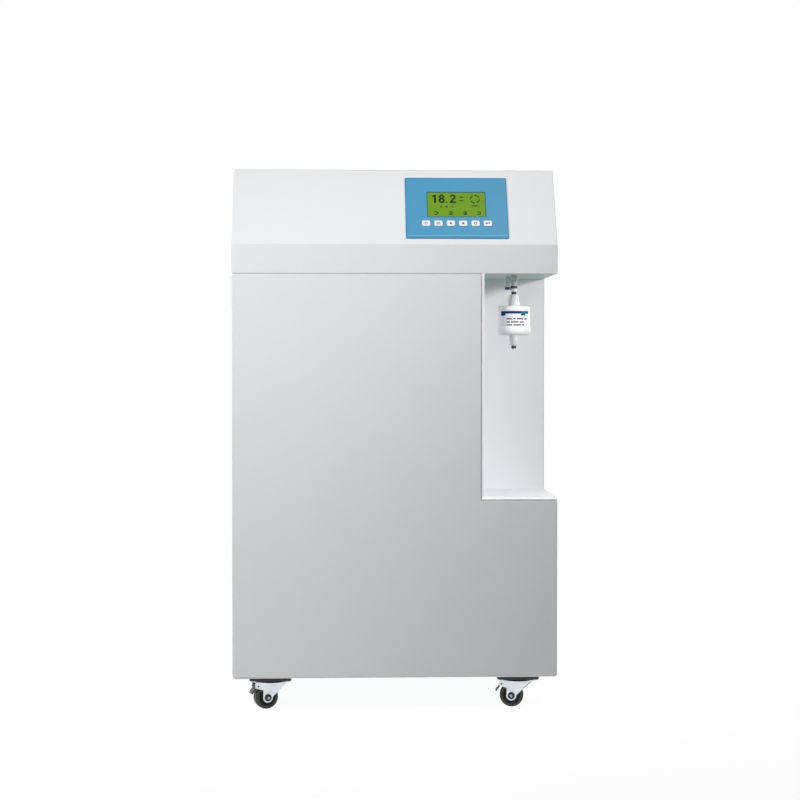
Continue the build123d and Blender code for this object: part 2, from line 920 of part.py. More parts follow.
def straight_tubes():
    """Tubes from the rear ports through the valves, and from each prefilter to the next."""
    port_end = rear_y - sheet - port_inner_length
    valve_end = chassis_back + valve_length
    boss_end = filter_y + filter_boss_reach
    drain_end = vessel_y + membrane_cap_radius + port_height
    tubes = []
    for (x, z), end in zip((rear_ports()[0], rear_ports()[2]), (boss_end, drain_end)):
        tubes.append(tube([(x, port_end, z), (x, valve_end, z)]))
        tubes.append(tube([(x, chassis_back, z), (x, end, z)]))
    for start, end in zip(filter_xs, filter_xs[1:]):
        y, z = filter_y, filter_port_z
        tubes.append(tube([(start + filter_boss_reach, y, z), (end - filter_boss_reach, y, z)]))
    return tubes


def vessel_links():
    """Bridges from each vessel's rear port to the next one's front port."""
    high = port_top + link_rise
    stations = [*membrane_xs, column_left, column_right]
    tubes = []
    for start, end in zip(stations, stations[1:]):
        leave = (start, vessel_y + port_spread)
        enter = (end, vessel_y - port_spread)
        tubes.append(tube([(*leave, port_top), (*leave, high), (*enter, high), (*enter, port_top)], link_bend))
    return tubes


def pump_tubes():
    """From the last prefilter down behind the chassis plate to the pump, and from the pump to the membranes."""
    behind = chassis_back + tube_bend + tube_lead
    last_x = filter_xs[-1]
    pump_reach = pump_head_size / 2 + pump_port_length
    suction = [
        (last_x, filter_y + filter_boss_reach, filter_port_z),
        (last_x, behind, filter_port_z),
        (last_x, behind, tray_top),
        (pump_inlet_x, behind, tray_top),
        (pump_inlet_x, behind, pump_z),
        (pump_inlet_x, vessel_y + pump_reach, pump_z),
    ]
    high = port_top + link_rise
    enter = (membrane_xs[0], vessel_y - port_spread)
    delivery = [
        (pump_inlet_x, vessel_y, pump_z + pump_reach),
        (pump_inlet_x, vessel_y, high),
        (*enter, high),
        (*enter, port_top),
    ]
    return [tube(suction, tube_bend), tube(delivery, tube_bend)]


def outlet_tubes():
    """From the last column and the tank port up behind the niche to the two outlets."""
    high = port_top + link_rise
    rise_y = niche_back + 2 * sheet + tube_bend
    fitting_top = floor_top + fitting_stub_height
    over = fitting_top + 2 * tube_bend
    leave = (column_right, vessel_y + port_spread)
    front, rear = outlets
    product = [
        (*leave, port_top),
        (*leave, high),
        (column_right, rise_y, high),
        (front[0], rise_y, over),
        (*front, over),
        (*front, fitting_top),
    ]
    tank_x, tank_z = rear_ports()[1]
    tank = [
        (tank_x, rear_y - sheet - port_inner_length, tank_z),
        (tank_x, rise_y + tube_bend, tank_z),
        (rear[0] - 2 * tube_bend, rise_y + tube_bend, over),
        (*rear, over),
        (*rear, fitting_top),
    ]
    return [tube(product, tube_bend), tube(tank, tube_bend)]


def water_tubes():
    return group([*straight_tubes(), *vessel_links(), *pump_tubes(), *outlet_tubes()])


# Rear fittings
def rear_bulkhead(x, z):
    outwards = (0, 1, 0)
    inner_start = (x, rear_y - sheet - port_inner_length, z)
    fitting = rod((x, rear_y, z), outwards, port_body_radius, port_reach)
    fitting += hexagon((x, rear_y, z), outwards, port_hex_radius, port_hex_length)
    fitting += rod((x, rear_y - sheet, z), outwards, port_thread_radius, sheet)
    fitting += hexagon((x, rear_y - sheet, z), (0, -1, 0), port_hex_radius, port_hex_length)
    fitting += rod(inner_start, outwards, port_thread_radius, port_inner_length)
    full = port_inner_length + sheet + port_reach
    fitting -= rod(inner_start, outwards, tube_bore, full)
    mouth = (x, rear_y + port_reach, z)
    return fitting - rod(mouth, (0, -1, 0), tube_radius + tube_fit, port_socket_depth)


def rear_bulkheads():
    return group([rear_bulkhead(x, z) for x, z in rear_ports()])


def socket_place():
    """Back and middle height of the mains socket."""
    return rear_y + inlet_rim_thick - socket_depth, inlet_z - socket_offset


def inlet_blades():
    """Three plated blades that stand out of the socket's back."""
    back, middle = socket_place()
    blades = []
    for step in (-1, 0, 1):
        x_span = around(inlet_x + step * blade_pitch, blade_width)
        z_span = around(middle + (blade_width if step == 0 else -blade_width), blade_height)
        blades.append(block(x_span, (back - blade_root, back + blade_length), z_span))
    return group(blades)


def power_inlet():
    """Moulded mains inlet with a socket round the blades and the well of the switch above it."""
    rim_y = rear_y + inlet_rim_thick
    rim = 2 * inlet_rim
    body = block(around(inlet_x, inlet_width), (rear_y - inlet_depth, rear_y), around(inlet_z, inlet_height))
    body += block(around(inlet_x, inlet_width + rim), (rear_y, rim_y), around(inlet_z, inlet_height + rim))
    back, middle = socket_place()
    body -= block(around(inlet_x, socket_width), (back, rim_y), around(middle, socket_height))
    body -= inlet_blades()
    well = rocker_radius + rocker_gap
    x_span = around(inlet_x, rocker_width + 2 * rocker_gap)
    body -= block(x_span, (rocker_y - well, rim_y), (rocker_z - well, rocker_z + well))
    reach = rocker_width / 2 + rocker_pin_reach + rocker_gap
    return body - rod((inlet_x - reach, rocker_y, rocker_z), (1, 0, 0), rocker_pin_radius + tube_fit, 2 * reach)


def power_rocker():
    """Rocker with two flat faces, resting on its pressed side."""
    across = (1, 0, 0)
    rocker = rod((-rocker_width / 2, 0, 0), across, rocker_radius, rocker_width)
    beyond = 2 * rocker_radius
    for tilt in (-rocker_tilt, rocker_tilt):
        spare = block(around(0, beyond), (rocker_face, rocker_face + beyond), around(0, 2 * beyond))
        rocker -= Rot(tilt, 0, 0) * spare
    reach = rocker_width / 2 + rocker_pin_reach
    rocker += rod((-reach, 0, 0), across, rocker_pin_radius, 2 * reach)
    return Pos(inlet_x, rocker_y, rocker_z) * Rot(rocker_tilt, 0, 0) * rocker


def panel_screws():
    screws = []
    for x, z in screw_places():
        head = rod((x, rear_y, z), (0, 1, 0), screw_head_radius, screw_head_height)
        screws.append(head + rod((x, rear_y, z), (0, -1, 0), screw_radius, screw_length))
    return group(screws)


# Casters, each made about its kingpin with the wheel trailing along +X
def caster_pads():
    pads = []
    outline = RectangleRounded(caster_plate_length, caster_plate_width, caster_plate_corner)
    for x, y in caster_places.values():
        pads.append(Pos(x, y, plate_high) * extrude(outline, amount=caster_pad_thick))
    for i, pad in enumerate(pads):
        for x, y in caster_bolt_places():
            pad -= rod((x, y, plate_high), (0, 0, 1), caster_bolt_radius, caster_pad_thick)
        pads[i] = pad
    return group(pads)


def caster_plates():
    plates = []
    outline = RectangleRounded(caster_plate_length, caster_plate_width, caster_plate_corner)
    for x, y in caster_places.values():
        plate = Pos(x, y, plate_low) * extrude(outline, amount=caster_plate_thick)
        for bolt_x, bolt_y in caster_bolt_places():
            plate -= rod((bolt_x, bolt_y, plate_low), (0, 0, 1), caster_bolt_radius, caster_plate_thick)
        plate += rod((x, y, crown_high + race_gap), (0, 0, 1), race_radius, race_height - race_gap)
        rivet_high = crown_low - race_gap
        plate += rod((x, y, rivet_high), (0, 0, 1), kingpin_radius, plate_low - rivet_high)
        plate += rod((x, y, rivet_high), (0, 0, -1), rivet_radius, rivet_height)
        plates.append(plate)
    return group(plates)


def caster_bolts():
    bolts = []
    shank = caster_plate_thick + caster_pad_thick + sheet
    for x, y in caster_bolt_places():
        head = hexagon((x, y, plate_low), (0, 0, -1), nut_radius, caster_bolt_head)
        bolts.append(head + rod((x, y, plate_low), (0, 0, 1), caster_bolt_radius, shank))
    return group(bolts)


def at_caster(corner, shape):
    x, y = caster_places[corner]
    return Pos(x, y, 0) * Rot(0, 0, caster_yaws[corner]) * shape


def brake_pivot():
    return caster_trail + brake_pivot_reach, crown_low - brake_pivot_drop


def fork_leg():
    """Side plate of the fork, tapering from the crown to the eye round the axle."""
    pivot_place = brake_pivot()
    eye_front = (caster_trail - axle_eye_radius, axle_z)
    eye_back = (caster_trail + axle_eye_radius, axle_z)
    ear = pivot_place[0] + brake_barrel_radius + brake_pin_radius
    ear_low = pivot_place[1] - brake_barrel_radius
    outline = Polyline(
        (-crown_radius + fork_sheet, crown_high),
        (ear, crown_high),
        (ear, ear_low),
        (eye_back[0], ear_low - leg_step),
        eye_back,
        eye_front,
        (-crown_radius + fork_sheet, crown_low),
        close=True,
    )
    return make_face(outline) + Pos(*eye_front) * Pos(axle_eye_radius, 0) * Circle(axle_eye_radius)


def axle_head(side, outer):
    """Domed head of the axle bolt on the outside of a fork leg."""
    head = rod((caster_trail, side * outer, axle_z), (0, side, 0), axle_head_radius, axle_head_height)
    rims = head.edges().filter_by(GeomType.CIRCLE).sort_by(Axis.Y)
    return fillet(rims[-1] if side > 0 else rims[0], axle_head_round)


def caster_fork(corner):
    inner = wheel_width / 2 + fork_gap
    leg = Plane.XZ * fork_leg()
    fork = rod((0, 0, crown_low), (0, 0, 1), crown_radius, fork_sheet)
    for start in (inner + fork_sheet, -inner):
        fork += Pos(0, start, 0) * extrude(leg, amount=fork_sheet)
    fork -= rod((0, 0, crown_low), (0, 0, 1), kingpin_radius + tube_fit, fork_sheet)
    outer = inner + fork_sheet
    fork -= rod((caster_trail, -outer, axle_z), (0, 1, 0), axle_radius, 2 * outer)
    if corner in braked_casters:
        x, z = brake_pivot()
        fork -= rod((x, -outer, z), (0, 1, 0), brake_pin_radius + tube_fit, 2 * outer)
    axle = rod((caster_trail, -outer, axle_z), (0, 1, 0), axle_radius, 2 * outer)
    for side in (-1, 1):
        axle += axle_head(side, outer)
    return group([at_caster(corner, fork), at_caster(corner, axle)])


def caster_wheel(corner):
    """Wheel with a rounded tyre, a recessed web and a hub that runs on the axle."""
    side = wheel_width / 2
    wheel = rod((0, -side, 0), (0, 1, 0), wheel_radius, wheel_width)
    wheel = fillet(wheel.edges().filter_by(GeomType.CIRCLE), tyre_round)
    rim = wheel_radius - tread_height
    for start, direction in ((-side, 1), (side, -1)):
        recess = rod((0, start, 0), (0, direction, 0), rim, hub_recess)
        wheel -= recess - rod((0, start, 0), (0, direction, 0), hub_radius, hub_recess)
        hub = fork_gap - hub_gap
        wheel += rod((0, start, 0), (0, -direction, 0), hub_radius, hub)
    wheel -= rod((0, -wheel_width, 0), (0, 1, 0), axle_radius + tube_fit, 2 * wheel_width)
    return at_caster(corner, Pos(caster_trail, 0, axle_z) * wheel)


def caster_brake(corner):
    """Foot brake: a tab on a cross pin, which swings in towards the tread."""
    half_width = wheel_width / 2
    lever = rod((0, -half_width, 0), (0, 1, 0), brake_barrel_radius, wheel_width)
    tab = block((0, brake_tab_length), around(0, wheel_width), around(0, brake_tab_thick))
    lever += Rot(0, 90 - brake_tab_lean, 0) * tab
    reach = half_width + fork_gap + fork_sheet
    lever += rod((0, -reach, 0), (0, 1, 0), brake_pin_radius, 2 * reach)
    x, z = brake_pivot()
    return at_caster(corner, Pos(x, 0, z) * lever)


def all_parts():
    parts = {
        "base_pan": base_pan(),
        "left_side_panel": left_side_panel(),
        "right_side_panel": right_side_panel(),
        "rear_panel": rear_panel(),
        "chassis_plate": chassis_plate(),
        "niche_liner": niche_liner(),
        "tray_ledge": tray_ledge(),
        "head_cover": head_cover(),
        "head_floor": head_floor(),
        "front_door": front_door(),
        "door_bushes": door_bushes(),
        "door_strikes": door_strikes(),
        "door_magnets": door_magnets(),
        "hinge_strap": hinge_strap(),
        "hinge_pins": hinge_pins(),
        "control_overlay": control_overlay(),
        "lcd_window": lcd_window(),
        "lcd_module": lcd_module(),
        "control_board": control_board(),
        "outlet_fittings": group([outlet_fitting(x, y) for x, y in outlets]),
        "collet_rings": group([collet_ring(x, y) for x, y in outlets]),
        "capsule_link": capsule_link(),
        "seal_rings": seal_rings(),
        "capsule_housing": capsule_housing(),
        "filter_bracket": filter_bracket(),
        "prefilter_heads": prefilter_heads(),
        "prefilter_bowls": group([prefilter_bowl(x) for x in filter_xs]),
        "prefilter_cartridges": group([prefilter_cartridge(x) for x in filter_xs]),
        "ro_vessels": ro_vessels(),
        "polishing_columns": polishing_columns(),
        "vessel_clips": vessel_clips(),
        "booster_pump": booster_pump(),
        "pump_mounts": pump_mounts(),
        "solenoid_valves": solenoid_valves(),
        "power_supply": power_supply(),
        "water_tubes": water_tubes(),
        "rear_bulkheads": rear_bulkheads(),
        "power_inlet": power_inlet(),
        "inlet_blades": inlet_blades(),
        "power_rocker": power_rocker(),
        "panel_screws": panel_screws(),
        "caster_pads": caster_pads(),
        "caster_plates": caster_plates(),
        "caster_bolts": caster_bolts(),
    }
    for number, x in enumerate(key_places, start=1):
        parts[f"key_{number}"] = key(x)
    for corner in caster_places:
        parts[f"caster_fork_{corner}"] = caster_fork(corner)
        parts[f"caster_wheel_{corner}"] = caster_wheel(corner)
    for corner in braked_casters:
        parts[f"caster_brake_{corner}"] = caster_brake(corner)
    return parts


os.makedirs("parts", exist_ok=True)
for name, shape in all_parts().items():
    export_step(shape, f"parts/{name}.step")
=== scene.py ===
import json
import math

import bmesh
import bpy
from mathutils import Matrix, Vector

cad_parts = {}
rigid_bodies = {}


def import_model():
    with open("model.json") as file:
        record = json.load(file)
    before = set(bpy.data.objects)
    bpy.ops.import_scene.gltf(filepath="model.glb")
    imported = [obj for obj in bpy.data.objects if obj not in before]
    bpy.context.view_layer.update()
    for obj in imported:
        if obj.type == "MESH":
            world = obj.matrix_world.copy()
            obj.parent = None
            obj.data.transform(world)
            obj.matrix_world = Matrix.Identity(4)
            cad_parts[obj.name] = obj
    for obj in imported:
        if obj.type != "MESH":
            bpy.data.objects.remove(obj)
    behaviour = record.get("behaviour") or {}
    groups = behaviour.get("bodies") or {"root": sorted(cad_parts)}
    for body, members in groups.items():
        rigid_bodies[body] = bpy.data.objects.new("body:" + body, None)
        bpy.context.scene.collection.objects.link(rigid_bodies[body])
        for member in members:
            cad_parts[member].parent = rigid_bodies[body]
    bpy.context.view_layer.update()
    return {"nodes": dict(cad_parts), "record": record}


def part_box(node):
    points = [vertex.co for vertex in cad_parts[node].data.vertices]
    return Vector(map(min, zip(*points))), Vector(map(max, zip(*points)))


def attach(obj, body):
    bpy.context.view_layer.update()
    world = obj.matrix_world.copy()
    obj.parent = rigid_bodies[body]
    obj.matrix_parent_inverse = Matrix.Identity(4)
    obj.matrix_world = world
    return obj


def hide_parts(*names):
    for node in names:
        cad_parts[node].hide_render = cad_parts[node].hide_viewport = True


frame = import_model()

# Sizes, in metres
mm = 0.001
weld_distance = 0.002 * mm
print_lift = 0.06 * mm
mark_rise = 0.01 * mm
plate_depth = 0.03 * mm
axle_head_height = 4.0 * mm
axle_reach = 3 * mm
wheel_reach = 25 * mm
seal_depth = 0.7 * mm
seal_width = 4.0 * mm
seal_room = 0.3 * mm
seal_thick = 0.65 * mm
louvre_rise = 92.4 * mm
floor_half = 60.0
glow_near = 0.7
glow_far = 2.0

# Sizes, in millimetres
usual_edge_round = 0.3
vessel_cap_step = 3.0
capsule_radius = 27.4
capsule_shoulder_drop = 19.6
louvre_pitch = 16.0
rib_size = (1.6, 2.2, 20.0)
rib_edge = 0.5
seal_edge = 0.1

# Angles, in radians
flat_angle = math.radians(0.4)
edge_angle = math.radians(28)
crease_angle = math.radians(38)

# Counts and shares
round_segments = 3
rise_layers = 5
louvre_count = 8
sign_scale = 1.3
dash_gap = 0.9
ambient_share = 0.03

# Pieces that are treated alike
corners = ("front_left", "front_right", "rear_left", "rear_right")
niche_walls = ("niche_liner", "tray_ledge")
niche_fittings = ("capsule_", "outlet_fittings", "collet_rings", "seal_rings")
cabinet = ("head_cover", "head_floor", "niche_liner", "front_door")

record = frame["record"]
slot_of = {entry["node"]: entry["material_slot"] for entry in record["subparts"]}
colour_of = {entry["slot"]: entry["base_color"][:3] for entry in record["materials"]}
body_of = {node: body for body, nodes in record["behaviour"]["bodies"].items() for node in nodes}
joint_of = {joint["name"]: joint for joint in record["behaviour"]["joints"]}


# Shader node groups
float_kind = "NodeSocketFloat"
vector_kind = "NodeSocketVector"


def new_group(name, inputs, outputs):
    """An empty shader node group, from inputs as (name, kind, default) and outputs as (name, kind)."""
    group = bpy.data.node_groups.new(name, "ShaderNodeTree")
    for socket_name, kind, default in inputs:
        socket = group.interface.new_socket(socket_name, in_out="INPUT", socket_type=kind)
        if default is not None:
            socket.default_value = default
    for socket_name, kind in outputs:
        group.interface.new_socket(socket_name, in_out="OUTPUT", socket_type=kind)
    return group, group.nodes.new("NodeGroupInput"), group.nodes.new("NodeGroupOutput")


def noise(tree, vector, scale, detail=2.0, roughness=0.5):
    node = tree.nodes.new("ShaderNodeTexNoise")
    node.inputs["Detail"].default_value = detail
    node.inputs["Roughness"].default_value = roughness
    tree.links.new(vector, node.inputs["Vector"])
    tree.links.new(scale, node.inputs["Scale"])
    return node.outputs["Fac"]


def maths(tree, operation, first, second):
    node = tree.nodes.new("ShaderNodeMath")
    node.operation = operation
    for socket, value in zip(node.inputs, (first, second)):
        if isinstance(value, (int, float)):
            socket.default_value = value
        else:
            tree.links.new(value, socket)
    return node.outputs[0]


def spread(tree, value, amount):
    """A 0 to 1 noise turned into a factor round 1, off by up to half the amount either way."""
    return maths(tree, "ADD", maths(tree, "MULTIPLY", maths(tree, "SUBTRACT", value, 0.5), amount), 1.0)


def grain_group():
    """Even moulded or sprayed grain: a relief normal, a slow tone and a slow roughness."""
    group, start, end = new_group(
        "surface_grain",
        [("Vector", vector_kind, None), ("Scale", float_kind, 900.0), ("Depth", float_kind, 0.00002),
         ("Tone", float_kind, 0.04), ("Patch", float_kind, 9.0)],
        [("Normal", vector_kind), ("Tone", float_kind), ("Gloss", float_kind)],
    )
    vector = start.outputs["Vector"]
    bump = group.nodes.new("ShaderNodeBump")
    group.links.new(noise(group, vector, start.outputs["Scale"]), bump.inputs["Height"])
    group.links.new(start.outputs["Depth"], bump.inputs["Distance"])
    patch = noise(group, vector, start.outputs["Patch"], detail=4.0, roughness=0.6)
    group.links.new(bump.outputs["Normal"], end.inputs["Normal"])
    group.links.new(spread(group, patch, start.outputs["Tone"]), end.inputs["Tone"])
    group.links.new(spread(group, patch, amount=0.25), end.inputs["Gloss"])
    return group


def plate_group():
    """Plated metal: cloudy tone and spangle, with faint drawn lines along one axis."""
    group, start, end = new_group(
        "plated_metal",
        [("Vector", vector_kind, None), ("Stretch", vector_kind, (1.0, 1.0, 12.0)),
         ("Scale", float_kind, 260.0), ("Cloud", float_kind, 70.0), ("Depth", float_kind, 0.00003)],
        [("Normal", vector_kind), ("Tone", float_kind), ("Gloss", float_kind)],
    )
    stretch = group.nodes.new("ShaderNodeVectorMath")
    stretch.operation = "MULTIPLY"
    group.links.new(start.outputs["Vector"], stretch.inputs[0])
    group.links.new(start.outputs["Stretch"], stretch.inputs[1])
    lines = noise(group, stretch.outputs["Vector"], start.outputs["Scale"], detail=3.0)
    cloud = noise(group, start.outputs["Vector"], start.outputs["Cloud"], detail=3.0)
    bump = group.nodes.new("ShaderNodeBump")
    bump.inputs["Strength"].default_value = 0.5
    group.links.new(lines, bump.inputs["Height"])
    group.links.new(start.outputs["Depth"], bump.inputs["Distance"])
    group.links.new(bump.outputs["Normal"], end.inputs["Normal"])
    group.links.new(spread(group, cloud, amount=0.35), end.inputs["Tone"])
    streaks = maths(group, "ADD", lines, maths(group, "SUBTRACT", cloud, 0.5))
    group.links.new(spread(group, streaks, amount=0.7), end.inputs["Gloss"])
    return group


surface_grain = grain_group()
plated_metal = plate_group()


# Materials
def textured(name, colour, roughness, group, settings, **sockets):
    """A Principled material whose colour, roughness and normal take their variation from a node group."""
    material = bpy.data.materials.new(name)
    material.use_nodes = True
    tree = material.node_tree
    surface = tree.nodes["Principled BSDF"]
    pattern = tree.nodes.new("ShaderNodeGroup")
    pattern.node_tree = group
    place = tree.nodes.new("ShaderNodeTexCoord")
    tree.links.new(place.outputs["Object"], pattern.inputs["Vector"])
    for socket, value in settings.items():
        pattern.inputs[socket].default_value = value
    tint = tree.nodes.new("ShaderNodeMix")
    tint.data_type = "RGBA"
    tint.blend_type = "MULTIPLY"
    tint.inputs["Factor"].default_value = 1.0
    tint.inputs["A"].default_value = (*colour, 1.0)
    tree.links.new(pattern.outputs["Tone"], tint.inputs["B"])
    tree.links.new(tint.outputs["Result"], surface.inputs["Base Color"])
    uneven = maths(tree, "MULTIPLY", pattern.outputs["Gloss"], roughness)
    tree.links.new(uneven, surface.inputs["Roughness"])
    tree.links.new(pattern.outputs["Normal"], surface.inputs["Normal"])
    for socket, value in sockets.items():
        surface.inputs[socket.replace("_", " ")].default_value = value
    return material


def grained(name, colour, roughness, grain, **sockets):
    """Paint, plastic, rubber or ink with an even grain."""
    scale, depth, tone = grain
    settings = {"Scale": scale, "Depth": depth * mm, "Tone": tone}
    return textured(name, colour, roughness, surface_grain, settings, **sockets)


def plated(name, colour, roughness):
    """Plated or bright metal."""
    return textured(name, colour, roughness, plated_metal, {"Depth": plate_depth}, Metallic=1.0)


# Grains, each with its scale, its depth in millimetres and its tone
sprayed = (700.0, 0.02, 0.03)
polished = (500.0, 0.006, 0.03)
moulded = (1400.0, 0.03, 0.06)
rubbery = (1100.0, 0.03, 0.2)
pressed_seal = (1100.0, 0.01, 0.05)
wheel_cast = (1100.0, 0.03, 0.1)
clear_cast = (300.0, 0.004, 0.02)
drawn_tube = (300.0, 0.004, 0.03)
spun_fibre = (260.0, 0.6, 0.12)
printed_film = (1500.0, 0.006, 0.02)
display_glass = (200.0, 0.001, 0.05)
printed_ink = (900.0, 0.003, 0.02)


def slot_finishes():
    """One material for each material slot of the record."""
    made = {}

    def add(slot, roughness, grain, colour=None, share=1.0, **sockets):
        colour = colour or [share * value for value in colour_of[slot]]
        made[slot] = grained(slot, colour, roughness, grain, **sockets)

    for slot, rough in {"zinc_sheet": 0.42, "bright_steel": 0.25, "caster_zinc": 0.3}.items():
        made[slot] = plated(slot, colour_of[slot], rough)
    # brake_black is halved from its record colour; on the caster plates, which take this finish, the black is
    # painted shade for the shade under the cabinet.
    paint = {"white_paint": (0.44, 1.0), "brake_black": (0.4, 0.5), "pump_dark": (0.45, 1.0)}
    for slot, (rough, share) in paint.items():
        add(slot, rough, sprayed, share=share, Coat_Weight=0.12, Coat_Roughness=0.3)
    gloss = {"rocker_black": 0.22, "capsule_white": 0.32, "filter_blue": 0.3, "vessel_white": 0.34}
    for slot, rough in gloss.items():
        add(slot, rough, polished)
    matte = {"black_plastic": 0.55, "white_nylon": 0.5, "ferrite": 0.6, "fitting_grey": 0.5}
    for slot, rough in {**matte, "board_green": 0.4}.items():
        add(slot, rough, moulded)
    add("caster_rubber", 0.46, rubbery, share=0.5)
    add("seal_black", 0.46, rubbery)
    add("key_white", 0.35, polished, (0.94, 0.955, 0.96))
    add("collet_blue", 0.25, polished, (0.012, 0.05, 0.12))
    add("clear_fitting", 0.18, clear_cast, (0.8, 0.84, 0.83), Transmission_Weight=0.25, IOR=1.49)
    add("bowl_clear", 0.14, clear_cast, Transmission_Weight=0.75, IOR=1.49)
    add("tube_white", 0.4, drawn_tube, Subsurface_Weight=0.2, Subsurface_Scale=2 * mm)
    add("cartridge_white", 0.8, spun_fibre)
    add("blue_overlay", 0.42, printed_film, (0.054, 0.312, 0.535))
    add("display_green", 0.3, display_glass, (0.175, 0.35, 0.012), Specular_IOR_Level=0.2)
    return made


finishes = slot_finishes()
# The head's underside gets a darker grey-green than the white paint: painted shade, standing for the shade
# and bounce light under the head.
node_finishes = {"head_floor": grained("head_floor_painted_shade", (0.53, 0.65, 0.61), 0.5, sprayed)}


# Mesh helpers
def shown(name, mesh, slot, body, material=None):
    """Adds a mesh in the row frame as a piece of the object, riding on a body."""
    piece = bpy.data.objects.new(name, mesh)
    bpy.context.scene.collection.objects.link(piece)
    mesh.materials.clear()
    mesh.materials.append(material or finishes[slot])
    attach(piece, body)
    return piece


def baked(piece):
    """Replaces the piece's mesh by what its modifiers make of it."""
    graph = bpy.context.evaluated_depsgraph_get()
    mesh = bpy.data.meshes.new_from_object(piece.evaluated_get(graph))
    piece.modifiers.clear()
    piece.data = mesh


def smooth(mesh):
    mesh.shade_smooth()
    mesh.set_sharp_from_angle(angle=crease_angle)


def mesh_from(work, name):
    """The mesh of a finished work, which is then let go."""
    mesh = bpy.data.meshes.new(name)
    work.to_mesh(mesh)
    work.free()
    return mesh


def bridge(work, low, high):
    """Faces from one closed ring of corners to the next."""
    for here in range(len(low)):
        after = (here + 1) % len(low)
        work.faces.new([low[here], low[after], high[after], high[here]])


def welded(node):
    """A CAD node's mesh in the row frame, with its loose triangles welded, to work on."""
    source = frame["nodes"][node]
    work = bmesh.new()
    work.from_mesh(source.data)
    work.transform(source.matrix_world)
    bmesh.ops.remove_doubles(work, verts=work.verts, dist=weld_distance)
    return work


def merged_copy(node):
    """A welded copy of a CAD node's mesh, with its flat faces joined."""
    work = welded(node)
    bmesh.ops.dissolve_limit(work, angle_limit=flat_angle, verts=work.verts, edges=work.edges)
    return mesh_from(work, node)


def finished(node, edge):
    """A CAD node with its edges broken by a small round, standing for the node."""
    piece = bpy.data.objects.new(f"{node}_finished", merged_copy(node))
    bpy.context.scene.collection.objects.link(piece)
    smooth(piece.data)
    if edge:
        bevel = piece.modifiers.new("edge", "BEVEL")
        bevel.width = edge
        bevel.segments = round_segments
        bevel.limit_method = "ANGLE"
        bevel.angle_limit = edge_angle
    even = piece.modifiers.new("even", "WEIGHTED_NORMAL")
    even.keep_sharp = True
    baked(piece)
    piece.data.materials.clear()
    piece.data.materials.append(node_finishes.get(node, finishes[slot_of[node]]))
    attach(piece, body_of[node])
    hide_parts(node)


# Every CAD node gets a finished copy, with an edge round in millimetres
nodes_by_round = {
    0.0: ("water_tubes",),
    0.25: ("control_overlay", "lcd_window"),
    0.4: ("head_floor", "rear_panel", "chassis_plate", "caster_plates", "power_rocker", "seal_rings",
          "capsule_link"),
    0.5: ("front_door", "head_cover", "niche_liner", "tray_ledge", "left_side_panel", "right_side_panel",
          "base_pan", "outlet_fittings", "collet_rings", "power_inlet", "rear_bulkheads"),
    0.6: ("power_supply",),
    0.8: ("vessel_clips", "solenoid_valves"),
    1.0: ("booster_pump",),
    1.2: ("prefilter_heads", "prefilter_bowls"),
    1.5: ("ro_vessels", "polishing_columns"),
}
edge_rounds = {node: edge for edge, nodes in nodes_by_round.items() for node in nodes}
edge_rounds.update({f"key_{number}": 0.45 for number in range(1, 7)})
edge_rounds.update({f"caster_fork_{corner}": 0.5 for corner in corners})
edge_rounds.update({f"caster_wheel_{corner}": 0.4 for corner in corners})
made_below = ("panel_screws", "capsule_housing")
for node in slot_of:
    if node not in made_below:
        finished(node, edge_rounds.get(node, usual_edge_round) * mm)


# Places on the CAD
def middle_of(node):
    low, high = (Vector(corner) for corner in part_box(node))
    return (low + high) / 2


def reach(node, direction):
    """How far a CAD node goes along a direction, in the row frame."""
    source = frame["nodes"][node]
    return max(direction.dot(source.matrix_world @ vertex.co) for vertex in source.data.vertices)


def end_near(node, point, axis, radius):
    """How far a CAD node goes along an axis from a point, close to that axis."""
    source = frame["nodes"][node]
    offsets = [source.matrix_world @ vertex.co - point for vertex in source.data.vertices]
    return max(axis.dot(offset) for offset in offsets if (offset - axis * axis.dot(offset)).length < radius)


across_panel = Vector((1.0, 0.0, 0.0))
panel_out = -Vector(joint_of["key_1_press"]["axis"]).normalized()
panel_up = panel_out.cross(across_panel)


def on_panel(node, about=None):
    """A placing function on a node's outer face, about its own middle or that of another node."""
    centre = middle_of(about or node)
    face = reach(node, panel_out) + print_lift

    def place(across, up):
        flat = across_panel * (centre.x + across) + panel_up * (panel_up.dot(centre) + up)
        return flat + panel_out * face

    return place


def on_drum(centre, radius):
    """A placing function round an upright axis: across is arc length from the front, up is height."""
    def place(across, up):
        angle = across / radius
        return Vector((centre.x + radius * math.sin(angle), centre.y - radius * math.cos(angle), up))

    return place


def solids_of(node):
    """The low and high corners of each separate solid of a CAD node, from left to right."""
    work = welded(node)
    waiting = set(work.verts)
    boxes = []
    while waiting:
        found = [waiting.pop()]
        for vertex in found:
            near = {edge.other_vert(vertex) for edge in vertex.link_edges} & waiting
            waiting -= near
            found.extend(near)
        corner_pair = []
        for end in (min, max):
            corner_pair.append(Vector([end(vertex.co[i] for vertex in found) for i in range(3)]))
        boxes.append(corner_pair)
    work.free()
    return sorted(boxes, key=lambda box: box[0].x)


# Flat marks, as outlines of (across, up) pairs in millimetres
def rectangle(left, low, right, high):
    return [(left, low), (right, low), (right, high), (left, high)]


def strip(left, low, right, high, steps):
    """A rectangle cut into narrow ones, to lie round a drum."""
    edges = [left + (right - left) * i / steps for i in range(steps + 1)]
    return [rectangle(start, low, end, high) for start, end in zip(edges, edges[1:])]


def border(left, low, right, high, width):
    return [
        rectangle(left, low, right, low + width),
        rectangle(left, high - width, right, high),
        rectangle(left, low + width, left + width, high - width),
        rectangle(right - width, low + width, right, high - width),
    ]


def arc(across, up, inner, outer, start, end, steps=14):
    """A band of a ring between two angles in degrees."""
    angles = [math.radians(start + (end - start) * i / steps) for i in range(steps + 1)]

    def edge(radius, turns):
        return [(across + radius * math.cos(angle), up + radius * math.sin(angle)) for angle in turns]

    return edge(outer, angles) + edge(inner, reversed(angles))


